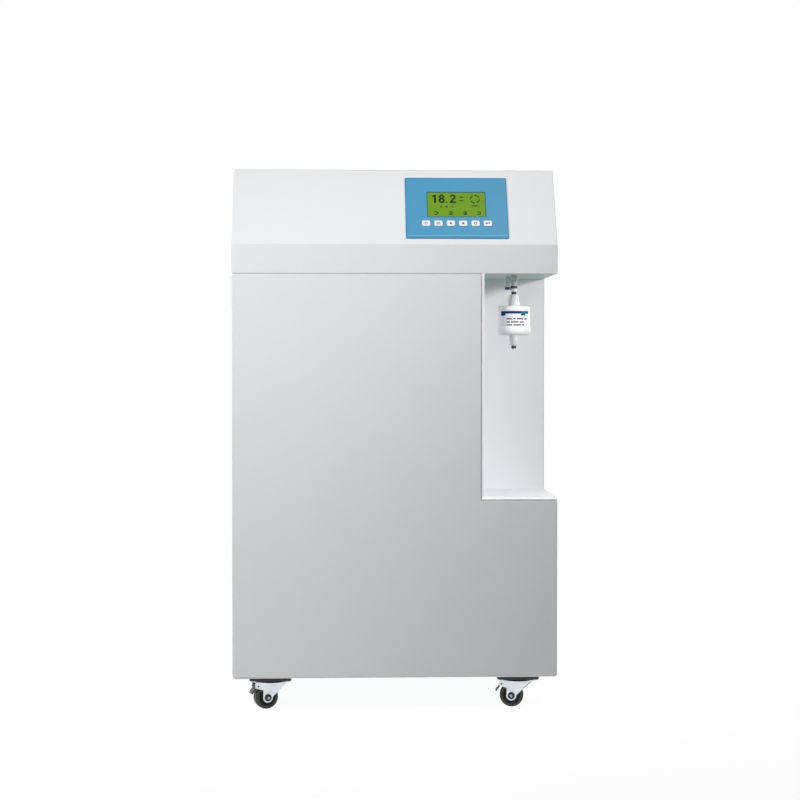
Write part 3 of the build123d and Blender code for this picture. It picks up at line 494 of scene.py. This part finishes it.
def triangle(across, up, size, turn):
    """A three-sided pointer whose tip is turned by degrees from the right."""
    angles = [math.radians(turn + step) for step in (0, 120, 240)]
    return [(across + size * math.cos(angle), up + size * math.sin(angle)) for angle in angles]


def figures(left, low):
    """The outlines of a reading of one, eight and two, in a plain bold letter."""
    one = [(0.0, 11.4), (2.6, 12.3), (2.6, 0.0), (6.2, 0.0), (6.2, 16.4), (3.8, 16.4), (0.0, 14.2)]
    eight = [arc(15.6, 4.9, 2.0, 5.2, 0, 360, 28), arc(15.6, 12.0, 1.6, 4.6, 0, 360, 28)]
    point = [rectangle(22.8, 0.0, 25.0, 2.2)]
    two = [arc(34.4, 11.6, 1.9, 5.1, -28, 172, 18), rectangle(29.2, 0.0, 39.8, 3.1)]
    two.append([(29.2, 3.1), (33.4, 3.1), (39.0, 9.3), (36.1, 10.8)])
    return [[(left + across, low + up) for across, up in mark] for mark in [one, *eight, *point, *two]]


def marks(name, outlines, place, slot, body, material, rise=Vector()):
    """One thin piece from flat outlines, put on the surface, those that overlap a rise over each other."""
    work = bmesh.new()
    for number, outline in enumerate(outlines):
        lift = rise * (number % rise_layers)
        work.faces.new([work.verts.new(place(across * mm, up * mm) + lift) for across, up in outline])
    shown(name, mesh_from(work, name), slot, body, material)


ink_colours = {
    "display_ink": (0.004, 0.014, 0.004),
    "display_faint": (0.025, 0.07, 0.012),
    "display_edge": (0.035, 0.13, 0.11),
    "key_ink": (0.035, 0.04, 0.06),
    "overlay_deep": (0.035, 0.2, 0.36),
    "overlay_pale": (0.2, 0.55, 0.76),
    "label_white": (0.86, 0.87, 0.89),
    "label_navy": (0.006, 0.035, 0.15),
    "label_teal": (0.005, 0.13, 0.22),
    "label_rule": (0.11, 0.09, 0.14),
}
inks = {name: grained(name, colour, 0.42, printed_ink, Specular_IOR_Level=0.15)
        for name, colour in ink_colours.items()}


# Display, keys and panel print
def display_marks():
    """A reading in three figures, a ring of arrows and small plain signs."""
    signs = [triangle(-25.8, 2.4, 2.3, 180), triangle(-16.7, 2.2, 2.7, 90), triangle(-7.3, 2.4, 2.3, -60)]
    faint = [rectangle(5.0, 20.2, 12.8, 22.4), rectangle(5.0, 13.4, 12.2, 15.6)]
    faint.append(rectangle(26.0, 3.0, 37.0, 5.2))
    ring_across, ring_up, tip_radius = 31.5, 17.4, 7.4
    for start in (25, 115, 205, 295):
        faint.append(arc(ring_across, ring_up, 6.2, 8.4, start, start + 48))
        tip = math.radians(start + 54)
        tip_across = ring_across + tip_radius * math.cos(tip)
        tip_up = ring_up + tip_radius * math.sin(tip)
        faint.append(triangle(tip_across, tip_up, 2.3, start + 144))
    sign_row = -10.2
    for across in (-35.0, -9.8, 14.0, 37.0):
        faint.append(arc(across, sign_row, 1.7, 3.7, -150, 150))
    faint.append(rectangle(-33.4, -11.8, -30.2, -8.6))
    faint.append(triangle(-9.8, sign_row, 1.9, 0))
    faint.append(rectangle(12.8, -11.4, 15.2, -9.0))
    place = on_panel("lcd_window", "control_overlay")
    rise = panel_out * mark_rise
    figure_marks = figures(left=-40.0, low=9.9) + signs
    marks("display_figures", figure_marks, place, "display_green", "root", inks["display_ink"], rise)
    marks("display_signs", faint, place, "display_green", "root", inks["display_faint"], rise)
    edge = border(-49.5, -18.0, 49.5, 31.5, width=1.4)
    marks("display_edge", edge, place, "display_green", "root", inks["display_edge"])


def key_marks():
    """A plain sign on each key, which moves with the key."""
    signs = {
        1: [arc(0.0, 0.0, 1.3, 1.9, 120, 420), rectangle(-0.3, 0.2, 0.3, 2.3)],
        2: [rectangle(-2.4, up - 0.3, 2.4, up + 0.3) for up in (-1.3, 0.0, 1.3)],
        3: [triangle(0.0, 0.0, 2.2, 0)],
        4: [triangle(0.0, -0.3, 2.2, 90)],
        5: [arc(0.0, 0.0, 1.3, 2.0, 0, 350)],
        6: [rectangle(-1.6, -0.4, 2.2, 0.4), rectangle(1.5, 0.4, 2.2, 2.0), triangle(-1.7, 0.0, 1.7, 180)],
    }
    rise = panel_out * mark_rise
    for number, outlines in signs.items():
        key = f"key_{number}"
        larger = []
        for outline in outlines:
            larger.append([(sign_scale * across, sign_scale * up) for across, up in outline])
        marks(f"{key}_sign", larger, on_panel(key), slot_of[key], body_of[key], inks["key_ink"], rise)


def panel_print():
    """Deep edge and one pale rule of the overlay's print."""
    place = on_panel("control_overlay")
    edge = border(-85.1, -59.1, 85.1, 59.1, width=0.9)
    marks("overlay_edge", edge, place, "blue_overlay", "root", inks["overlay_deep"])
    rule = [rectangle(-83.5, -54.8, 83.5, -53.8)]
    marks("overlay_rule", rule, place, "blue_overlay", "root", inks["overlay_pale"])


def drum_label(name, centre, radius, top, slot, bands, rules):
    """A wrapped label: a white ground, coloured bands and rows of plain dashes, heights from its top."""
    def layer(lift):
        return on_drum(centre, (radius + lift * print_lift / mm) * mm)

    for number, (ink, parts) in enumerate(bands):
        outlines = []
        for left, low, right, high in parts:
            outlines += strip(left, top + low, right, top + high, max(2, round((right - left) / 2)))
        marks(f"{name}_{number}", outlines, layer(min(number, 1) + 1), slot, "root", inks[ink])
    outlines = []
    for left, up, height, lengths in rules:
        low = top + up - height / 2
        high = top + up + height / 2
        for length in lengths:
            outlines += strip(left, low, left + length, high, max(2, round(length)))
            left += length + dash_gap * height
    marks(f"{name}_rules", outlines, layer(2), slot, "root", inks["label_rule"])


def capsule_label():
    """The capsule filter's label, with its band in two blues."""
    low, high = (Vector(corner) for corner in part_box("capsule_housing"))
    bands = [
        ("label_white", [(-31.0, -34.6, 30.0, -5.6)]),
        ("label_navy", [(-27.5, -16.8, -18.0, -9.2), (-18.0, -13.6, 10.0, -9.2)]),
        ("label_teal", [(10.0, -13.6, 27.0, -9.2), (10.0, -16.8, 18.5, -13.6)]),
    ]
    rules = [
        (-15.5, -22.2, 2.4, (9.5, 4.0, 12.0, 5.0)),
        (-15.5, -27.6, 2.2, (6.0, 12.5, 8.0)),
        (-15.5, -32.6, 2.2, (10.0, 13.0, 5.0)),
    ]
    top = high.z / mm - capsule_shoulder_drop
    drum_label("capsule_label", (low + high) / 2, capsule_radius, top, "capsule_white", bands, rules)


def vessel_labels():
    """Plain labels on the four treatment vessels behind the door, heights from their tops."""
    half, foot, band_foot, head = 24.0, -110.0, -60.0, -48.0
    for node, ink in (("ro_vessels", "label_navy"), ("polishing_columns", "label_teal")):
        for number, (low, high) in enumerate(solids_of(node)):
            centre = Vector(((low.x + high.x) / 2, low.y + (high.x - low.x) / 2, 0.0))
            radius = (high.x - low.x) / mm / 2 - vessel_cap_step
            bands = [("label_white", [(-half, foot, half, head)]), (ink, [(-half, band_foot, half, head)])]
            rules = [(-19.0, up, 2.2, (9.0, 6.0, 11.0)) for up in (-70.0, -79.0, -88.0, -97.0)]
            drum_label(f"{node}_label_{number}", centre, radius, high.z / mm, slot_of[node], bands, rules)


display_marks()
key_marks()
panel_print()
capsule_label()
vessel_labels()


# Turned pieces
def turned(name, profile, centre, axis, slot, body, material=None, steps=40, hollow=False):
    """A turned piece, or a ring, from (radius, height) pairs in millimetres along an axis from a centre."""
    work = bmesh.new()
    side = axis.orthogonal().normalized()
    other = axis.cross(side)
    turns = [2 * math.pi * step / steps for step in range(steps)]
    spokes = [side * math.cos(turn) + other * math.sin(turn) for turn in turns]
    rings = []
    for radius, height in profile:
        rings.append([work.verts.new(centre + (axis * height + spoke * radius) * mm) for spoke in spokes])
    around = rings + rings[:1] if hollow else rings
    for low, high in zip(around, around[1:]):
        bridge(work, low, high)
    if not hollow:
        work.faces.new(rings[0][::-1])
        work.faces.new(rings[-1])
    mesh = mesh_from(work, name)
    smooth(mesh)
    return shown(name, mesh, slot, body, material)


def axle_ends(corner):
    """The middle of a caster's axle, and the name and direction of each of its ends."""
    joint = joint_of[f"spin_{corner}"]
    axis = Vector(joint["axis"]).normalized()
    return Vector(joint["pos_m"]), (("near", axis), ("far", -axis))


def axle_nuts():
    """A washer and a round nut on each end of the caster axles, with the bright axle end in it; the nuts'
    near-black metal is a painted dark reflection.
    """
    # Near-black metal on the nut domes: painted reflection, standing for dark surroundings mirrored in
    # chrome.
    nut_painted_reflection = plated("nut_painted_reflection", (0.035, 0.045, 0.05), 0.16)
    axle_grey = plated("axle_grey", (0.36, 0.39, 0.4), 0.25)
    washer = [(8.4, -0.2), (8.4, 0.6), (8.0, 0.9), (6.0, 0.9)]
    cap = [(6.2, 0.5), (6.2, 1.6), (5.95, 2.6), (5.3, 3.5), (4.1, 4.25), (2.4, 4.7), (0.3, 4.85)]
    end = [(2.2, 4.3), (2.2, 5.0), (1.8, 5.3), (0.3, 5.4)]
    for corner in corners:
        fork = f"caster_fork_{corner}"
        hub, ends = axle_ends(corner)
        for side, axis in ends:
            face = hub + axis * (end_near(fork, hub, axis, axle_reach) - axle_head_height)
            turned(f"{fork}_washer_{side}", washer, face, axis, "caster_zinc", body_of[fork])
            turned(f"{fork}_nut_{side}", cap, face, axis, "caster_zinc", body_of[fork], nut_painted_reflection)
            turned(f"{fork}_axle_end_{side}", end, face, axis, "caster_zinc", body_of[fork], axle_grey,
                   steps=20)


def wheel_faces():
    """A near-black ring in the recess round the hub on both faces of each wheel, painted shade where the fork
    leg shades the wheel, heights from the hub's end.
    """
    ring = [(13.9, -2.4), (13.9, -1.1), (13.6, -0.8), (6.9, -0.8), (6.9, -2.4)]
    # Near-black ring colour: painted shade in the hub recess between fork leg and tyre.
    painted_hub_shade = grained("wheel_painted_shade", (0.006, 0.006, 0.006), 0.6, wheel_cast, Specular_IOR_Level=0.25)
    for corner in corners:
        wheel = f"caster_wheel_{corner}"
        hub, ends = axle_ends(corner)
        for side, axis in ends:
            end = hub + axis * end_near(wheel, hub, axis, wheel_reach)
            name = f"{wheel}_face_{side}"
            turned(name, ring, end, axis, "caster_rubber", body_of[wheel], painted_hub_shade, hollow=True)


def capsule_body():
    """The capsule filter's white body and the clear cup round its lower end, heights from its top."""
    low, high = (Vector(corner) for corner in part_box("capsule_housing"))
    top = Vector(((low.x + high.x) / 2, (low.y + high.y) / 2, high.z))
    foot = (low.z - high.z) / mm
    tail = [(2.2, foot), (2.2, -88.0), (4.0, -86.8), (5.0, -69.8)]
    rim = [(21.0, -69.6), (25.2, -69.0), (27.6, -66.8), (28.4, -63.0), (28.4, -58.0), (28.1, -56.0)]
    drum = [(capsule_radius, -54.5), (capsule_radius, -25.0), (27.0, -22.6), (25.6, -20.6), (22.5, -19.6)]
    neck = [(10.6, -19.3), (9.5, -18.6), (9.5, -12.0), (9.2, -9.0), (8.4, -6.5)]
    mouth = [(7.5, -3.5), (7.2, -1.4), (6.4, -0.3), (3.6, 0.0)]
    cup_foot = [(5.2, -86.6), (7.4, -85.9), (8.9, -83.6), (9.4, -80.0)]
    cup_rim = [(9.4, -76.0), (9.0, -74.4), (9.4, -72.8), (9.6, -69.3)]
    profile = tail + rim + drum + neck + mouth
    up = Vector((0.0, 0.0, 1.0))
    body = turned("capsule_body", profile, top, up, "capsule_white", "root", steps=56)
    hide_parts("capsule_housing")
    turned("capsule_cup", cup_foot + cup_rim, top, up, "clear_fitting", "root")


axle_nuts()
wheel_faces()
capsule_body()


# Repeats with geometry nodes
def repeat_group(name, settings, make_points):
    """Geometry nodes that put a template on points, make it real, move it and give it a material."""
    group = bpy.data.node_groups.new(name, "GeometryNodeTree")
    usual = {"Template": "NodeSocketObject", "Material": "NodeSocketMaterial", "Count": "NodeSocketInt",
             "Centre": vector_kind}
    for socket, kind in {**usual, **settings}.items():
        group.interface.new_socket(socket, in_out="INPUT", socket_type=kind)
    group.interface.new_socket("Geometry", in_out="OUTPUT", socket_type="NodeSocketGeometry")
    given = group.nodes.new("NodeGroupInput").outputs
    template = group.nodes.new("GeometryNodeObjectInfo")
    place = group.nodes.new("GeometryNodeInstanceOnPoints")
    real = group.nodes.new("GeometryNodeRealizeInstances")
    move = group.nodes.new("GeometryNodeTransform")
    paint = group.nodes.new("GeometryNodeSetMaterial")
    result = group.nodes.new("NodeGroupOutput")
    link = group.links.new
    link(make_points(group, given, place), place.inputs["Points"])
    link(given["Template"], template.inputs["Object"])
    link(template.outputs["Geometry"], place.inputs["Instance"])
    link(place.outputs["Instances"], real.inputs["Geometry"])
    link(real.outputs["Geometry"], move.inputs["Geometry"])
    link(given["Centre"], move.inputs["Translation"])
    link(move.outputs["Geometry"], paint.inputs["Geometry"])
    link(given["Material"], paint.inputs["Material"])
    link(paint.outputs["Geometry"], result.inputs["Geometry"])
    return group


def row_points(group, given, place):
    """Points one step apart."""
    line = group.nodes.new("GeometryNodeMeshLine")
    group.links.new(given["Count"], line.inputs["Count"])
    group.links.new(given["Step"], line.inputs["Offset"])
    return line.outputs["Mesh"]


def ring_points(group, given, place):
    """Points round an upright axis, with the template's own X turned outwards."""
    circle = group.nodes.new("GeometryNodeMeshCircle")
    group.links.new(given["Count"], circle.inputs["Vertices"])
    group.links.new(given["Radius"], circle.inputs["Radius"])
    outwards = group.nodes.new("FunctionNodeAlignRotationToVector")
    outwards.axis = "X"
    position = group.nodes.new("GeometryNodeInputPosition")
    group.links.new(position.outputs["Position"], outwards.inputs["Vector"])
    group.links.new(outwards.outputs["Rotation"], place.inputs["Rotation"])
    return circle.outputs["Mesh"]


in_row = repeat_group("in_row", {"Step": vector_kind}, row_points)
in_ring = repeat_group("in_ring", {"Radius": float_kind}, ring_points)


def repeated(name, group, mesh, slot, body, **values):
    """A piece that repeats a template mesh by a node group."""
    pattern = bpy.data.objects.new(f"{name}_pattern", mesh)
    piece = bpy.data.objects.new(name, bpy.data.meshes.new(name))
    for item in (pattern, piece):
        bpy.context.scene.collection.objects.link(item)
    repeat = piece.modifiers.new("repeat", "NODES")
    repeat.node_group = group
    values.update(Template=pattern, Material=finishes[slot])
    for socket in group.interface.items_tree:
        if socket.in_out == "INPUT":
            repeat[socket.identifier] = values[socket.name]
    baked(piece)
    bpy.data.objects.remove(pattern)
    smooth(piece.data)
    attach(piece, body)
    return piece


def block(size, edge):
    """A small block with rounded edges about the origin, in millimetres."""
    work = bmesh.new()
    bmesh.ops.create_cube(work, size=1.0)
    bmesh.ops.scale(work, vec=Vector(size) * mm, verts=work.verts)
    bmesh.ops.bevel(work, geom=work.edges, offset=edge * mm, segments=round_segments, profile=0.5,
                    affect="EDGES")
    return mesh_from(work, "block")


def hood(length, rise, depth, wall):
    """A pressed louvre hood that opens downwards, on a sheet whose outside faces +Y."""
    stations = 33
    bends = 9
    squareness = 14
    work = bmesh.new()
    turns = [math.pi / 2 * bend / (bends - 1) for bend in range(bends)]
    rows = []
    for station in range(stations):
        share = 2 * station / (stations - 1) - 1
        swell = (1 - abs(share) ** squareness) ** 0.5
        outside = [(depth * swell * math.sin(turn), rise * math.cos(turn)) for turn in turns]
        inside = [(y - wall * swell, up - wall * (up > 0.5 * rise)) for y, up in reversed(outside)]
        across = share * length / 2 * mm
        rows.append([work.verts.new((across, y * mm, up * mm)) for y, up in outside + inside])
    for left, right in zip(rows, rows[1:]):
        for here in range(len(left)):
            after = (here + 1) % len(left)
            work.faces.new([left[here], right[here], right[after], left[after]])
    bmesh.ops.recalc_face_normals(work, faces=work.faces)
    return mesh_from(work, "hood")


def cross_screw(radius, height, arm, depth):
    """A domed screw head with a cross recess, seated at the origin and facing +Y."""
    work = bmesh.new()
    steps = 40
    levels = ((1.0, -0.1), (1.0, 0.4), (0.93, 0.68), (0.78, 0.86), (0.6, 0.96), (0.5, 1.0))
    arm_share = 0.46
    turns = [2 * math.pi * step / steps for step in range(steps)]

    def circle_point(out, up, turn):
        return Vector((out * math.cos(turn), up, -out * math.sin(turn))) * mm

    rings = []
    for share, up in levels:
        rings.append([work.verts.new(circle_point(radius * share, height * up, turn)) for turn in turns])
    for low, high in zip(rings, rings[1:]):
        bridge(work, low, high)
    slot_rim = []
    for turn in turns:
        narrow = min(abs(math.cos(turn)), abs(math.sin(turn)))
        slot_rim.append(circle_point(min(arm_share * radius, arm / max(narrow, 0.001)), height, turn))
    rim = [work.verts.new(point) for point in slot_rim]
    foot = [work.verts.new(point - Vector((0.0, depth, 0.0)) * mm) for point in slot_rim]
    bridge(work, rings[-1], rim)
    bridge(work, rim, foot)
    work.faces.new(foot)
    bmesh.ops.recalc_face_normals(work, faces=work.faces)
    return mesh_from(work, "cross_screw")


def door_seals():
    """Thin grey sealing strips in the seam over the door and in the one under the tray's nose."""
    seal_grey = grained("seal_grey", (0.78, 0.79, 0.8), 0.6, pressed_seal)
    door_low, door_high = (Vector(corner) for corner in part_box("front_door"))
    liner_low, liner_high = (Vector(corner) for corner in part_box("niche_liner"))
    tray_low, tray_high = (Vector(corner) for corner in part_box("tray_ledge"))
    near = door_low.y + seal_depth
    far = near + seal_width
    spans = {
        "head_seal": ((door_low.x + mm, near, door_high.z + seal_room), (liner_low.x, far, liner_high.z)),
        "tray_seal": ((liner_low.x, near, tray_low.z - seal_thick), (tray_high.x - mm, far, tray_low.z)),
    }
    for name, (low, high) in spans.items():
        low, high = Vector(low), Vector(high)
        mesh = block((high - low) / mm, seal_edge)
        mesh.transform(Matrix.Translation((low + high) / 2))
        smooth(mesh)
        shown(name, mesh, "white_nylon", "root", seal_grey)


def rear_details():
    """Cross-recessed screws and louvre hoods on the rear panel."""
    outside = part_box("rear_panel")[1][1]
    places = [(low + high) / 2 for low, high in solids_of("panel_screws")]
    for column, pick in (("min", min), ("max", max)):
        across = pick(place.x for place in places)
        heights = sorted(place.z for place in places if abs(place.x - across) < mm)
        lowest = Vector((across, outside, heights[0]))
        step = Vector((0.0, 0.0, heights[1] - heights[0]))
        screw = cross_screw(radius=4.2, height=2.4, arm=0.65, depth=1.5)
        piece = repeated(f"panel_screws_{column}", in_row, screw, "bright_steel", "root",
                         Count=len(heights), Centre=lowest, Step=step)
        if column == "min":
            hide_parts("panel_screws")
    inlet = middle_of("power_inlet")
    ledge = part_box("tray_ledge")[1][2]
    start = Vector((inlet.x, outside, ledge + louvre_rise))
    step = Vector((0.0, 0.0, louvre_pitch)) * mm
    louvre = hood(length=151.0, rise=3.6, depth=3.8, wall=0.8)
    repeated("louvre_hoods", in_row, louvre, "white_paint", "root",
             Count=louvre_count, Centre=start, Step=step)


def grip_ribs():
    """Ribs round the caps of the vessels and the collars of the prefilter bowls."""
    ribbed = (("ro_vessels", 36, 14.0), ("polishing_columns", 42, 14.0), ("prefilter_heads", 44, 34.0))
    for node, count, drop in ribbed:
        for number, (low, high) in enumerate(solids_of(node)):
            radius = (high.y - low.y) / 2 if node == "prefilter_heads" else (high.x - low.x) / 2
            centre = Vector(((low.x + high.x) / 2, low.y + radius, high.z - drop * mm))
            repeated(f"{node}_grip_{number}", in_ring, block(rib_size, rib_edge), slot_of[node], "root",
                     Count=count, Centre=centre, Radius=radius)


door_seals()
rear_details()
grip_ribs()


# Studio
def linked_pieces(name, starts, state):
    """A collection of the pieces whose names start in given ways, for the linking of a light."""
    pieces = bpy.data.collections.new(name)
    for piece in bpy.context.scene.collection.objects:
        if piece.name.startswith(starts):
            pieces.objects.link(piece)
    for entry in pieces.collection_objects:
        entry.light_linking.link_state = state
    return pieces


def area_light(name, place, target, size, energy, fan=180):
    """A square soft box whose light fans out by a number of degrees."""
    light = bpy.data.lights.new(name, "AREA")
    light.energy = energy
    light.size = size
    light.spread = math.radians(fan)
    lamp = bpy.data.objects.new(name, light)
    aim = (Vector(target) - Vector(place)).to_track_quat("-Z", "Y")
    lamp.matrix_world = Matrix.Translation(place) @ aim.to_matrix().to_4x4()
    lamp.visible_camera = False
    bpy.context.scene.collection.objects.link(lamp)
    return lamp.light_linking


def seen_rays(tree):
    """1 for rays from the camera and for those it sees by reflection or through something clear."""
    path = tree.nodes.new("ShaderNodeLightPath").outputs
    either = maths(tree, "MAXIMUM", path["Is Camera Ray"], path["Is Glossy Ray"])
    return maths(tree, "MAXIMUM", either, path["Is Transmission Ray"])


def near_to_far(tree, distance, near, far):
    """A value that goes from near to far over a stretch of floor round the object."""
    ramp = tree.nodes.new("ShaderNodeMapRange")
    ramp.interpolation_type = "SMOOTHSTEP"
    ends = {"From Min": glow_near, "From Max": glow_far, "To Min": near, "To Max": far}
    for socket, value in ends.items():
        ramp.inputs[socket].default_value = value
    tree.links.new(distance, ramp.inputs["Value"])
    return ramp.outputs["Result"]


def studio_floor():
    """Wide pale floor that reads white and keeps a soft shadow under the object."""
    work = bmesh.new()
    bmesh.ops.create_grid(work, x_segments=1, y_segments=1, size=floor_half)
    mesh = mesh_from(work, "floor")
    floor = bpy.data.objects.new("floor", mesh)
    bpy.context.scene.collection.objects.link(floor)
    material = bpy.data.materials.new("floor")
    material.use_nodes = True
    tree = material.node_tree
    surface = tree.nodes["Principled BSDF"]
    surface.inputs["Base Color"].default_value = (0.7, 0.7, 0.7, 1.0)
    surface.inputs["Roughness"].default_value = 0.9
    away = tree.nodes.new("ShaderNodeVectorMath")
    away.operation = "LENGTH"
    tree.links.new(tree.nodes.new("ShaderNodeTexCoord").outputs["Object"], away.inputs[0])
    distance = away.outputs["Value"]
    glow = tree.nodes.new("ShaderNodeEmission")
    tree.links.new(near_to_far(tree, distance, near=1.22, far=1.0), glow.inputs["Strength"])
    mix = tree.nodes.new("ShaderNodeMixShader")
    share = near_to_far(tree, distance, near=0.74, far=1.0)
    tree.links.new(maths(tree, "MULTIPLY", seen_rays(tree), share), mix.inputs["Fac"])
    tree.links.new(surface.outputs["BSDF"], mix.inputs[1])
    tree.links.new(glow.outputs["Emission"], mix.inputs[2])
    tree.links.new(mix.outputs["Shader"], tree.nodes["Material Output"].inputs["Surface"])
    mesh.materials.append(material)


def studio_world(ambient):
    """White where it is seen, and a faint even light on the object."""
    world = bpy.data.worlds.new("studio")
    world.use_nodes = True
    bpy.context.scene.world = world
    tree = world.node_tree
    sky = tree.nodes["Background"]
    sky.inputs["Color"].default_value = (1.0, 1.0, 1.0, 1.0)
    seen = seen_rays(tree)
    strength = maths(tree, "ADD", maths(tree, "MULTIPLY", seen, 1.0 - ambient), ambient)
    tree.links.new(strength, sky.inputs["Strength"])


def studio_camera(place, lens_length, swing, tilt):
    """The photograph's view, with the swing to the right and the tilt down in degrees."""
    lens = bpy.data.cameras.new("camera")
    lens.sensor_width = 36.0
    lens.lens = lens_length
    camera = bpy.data.objects.new("camera", lens)
    level = Matrix.Rotation(math.radians(90 - tilt), 4, "X")
    camera.matrix_world = Matrix.Translation(place) @ (Matrix.Rotation(math.radians(-swing), 4, "Z") @ level)
    bpy.context.scene.collection.objects.link(camera)
    bpy.context.scene.camera = camera


def studio_lamps():
    """Soft boxes in front and behind, and two that light only the niche, shaded only by the cabinet."""
    middle = (0.0, -0.25, 0.5)
    lamps = {
        "key": {"place": (-0.9, -1.2, 1.2), "target": (-0.22, -0.25, 0.75), "size": 0.5, "energy": 3.05,
                "fan": 90},
        "low_left": {"place": (-0.9, -1.2, 0.4), "target": (-0.25, -0.25, 0.1), "size": 0.4, "energy": 0.43,
                     "fan": 70},
        "right_high": {"place": (0.8, -1.2, 1.6), "target": (0.27, -0.25, 0.85), "size": 0.4, "energy": 0.25,
                       "fan": 60},
        "rear_left": {"place": (-1.5, 1.5, 1.5), "target": middle, "size": 1.0, "energy": 21.0},
        "rear_right": {"place": (1.6, 1.3, 1.3), "target": middle, "size": 1.0, "energy": 19.0},
        "top_right": {"place": (0.6, -1.3, 1.9), "target": (0.12, -0.25, 0.88), "size": 0.5, "energy": 1.27,
                      "fan": 60},
        "recess": {"place": (2.1, -1.7, 1.2), "target": (0.21, -0.1, 0.56), "size": 0.4, "energy": 38.5},
        "tray": {"place": (0.2, -1.6, 1.0), "target": (0.207, -0.15, 0.36), "size": 0.3, "energy": 6.6},
    }
    links = {name: area_light(name, **lamp) for name, lamp in lamps.items()}
    links["top_right"].receiver_collection = linked_pieces("not_by_top", niche_walls, "EXCLUDE")
    links["recess"].receiver_collection = linked_pieces("recess_lit", niche_walls + niche_fittings, "INCLUDE")
    links["recess"].blocker_collection = linked_pieces("recess_shade", cabinet, "INCLUDE")
    links["tray"].receiver_collection = linked_pieces("tray_lit", ("tray_ledge",), "INCLUDE")
    links["tray"].blocker_collection = linked_pieces("tray_shade", cabinet, "INCLUDE")


studio_floor()
studio_world(ambient_share)
studio_camera(place=(-0.09475, -3.07594, 0.58357), lens_length=76.85, swing=2.08, tilt=1.264)
studio_lamps()
bpy.context.scene.view_settings.view_transform = "Standard"
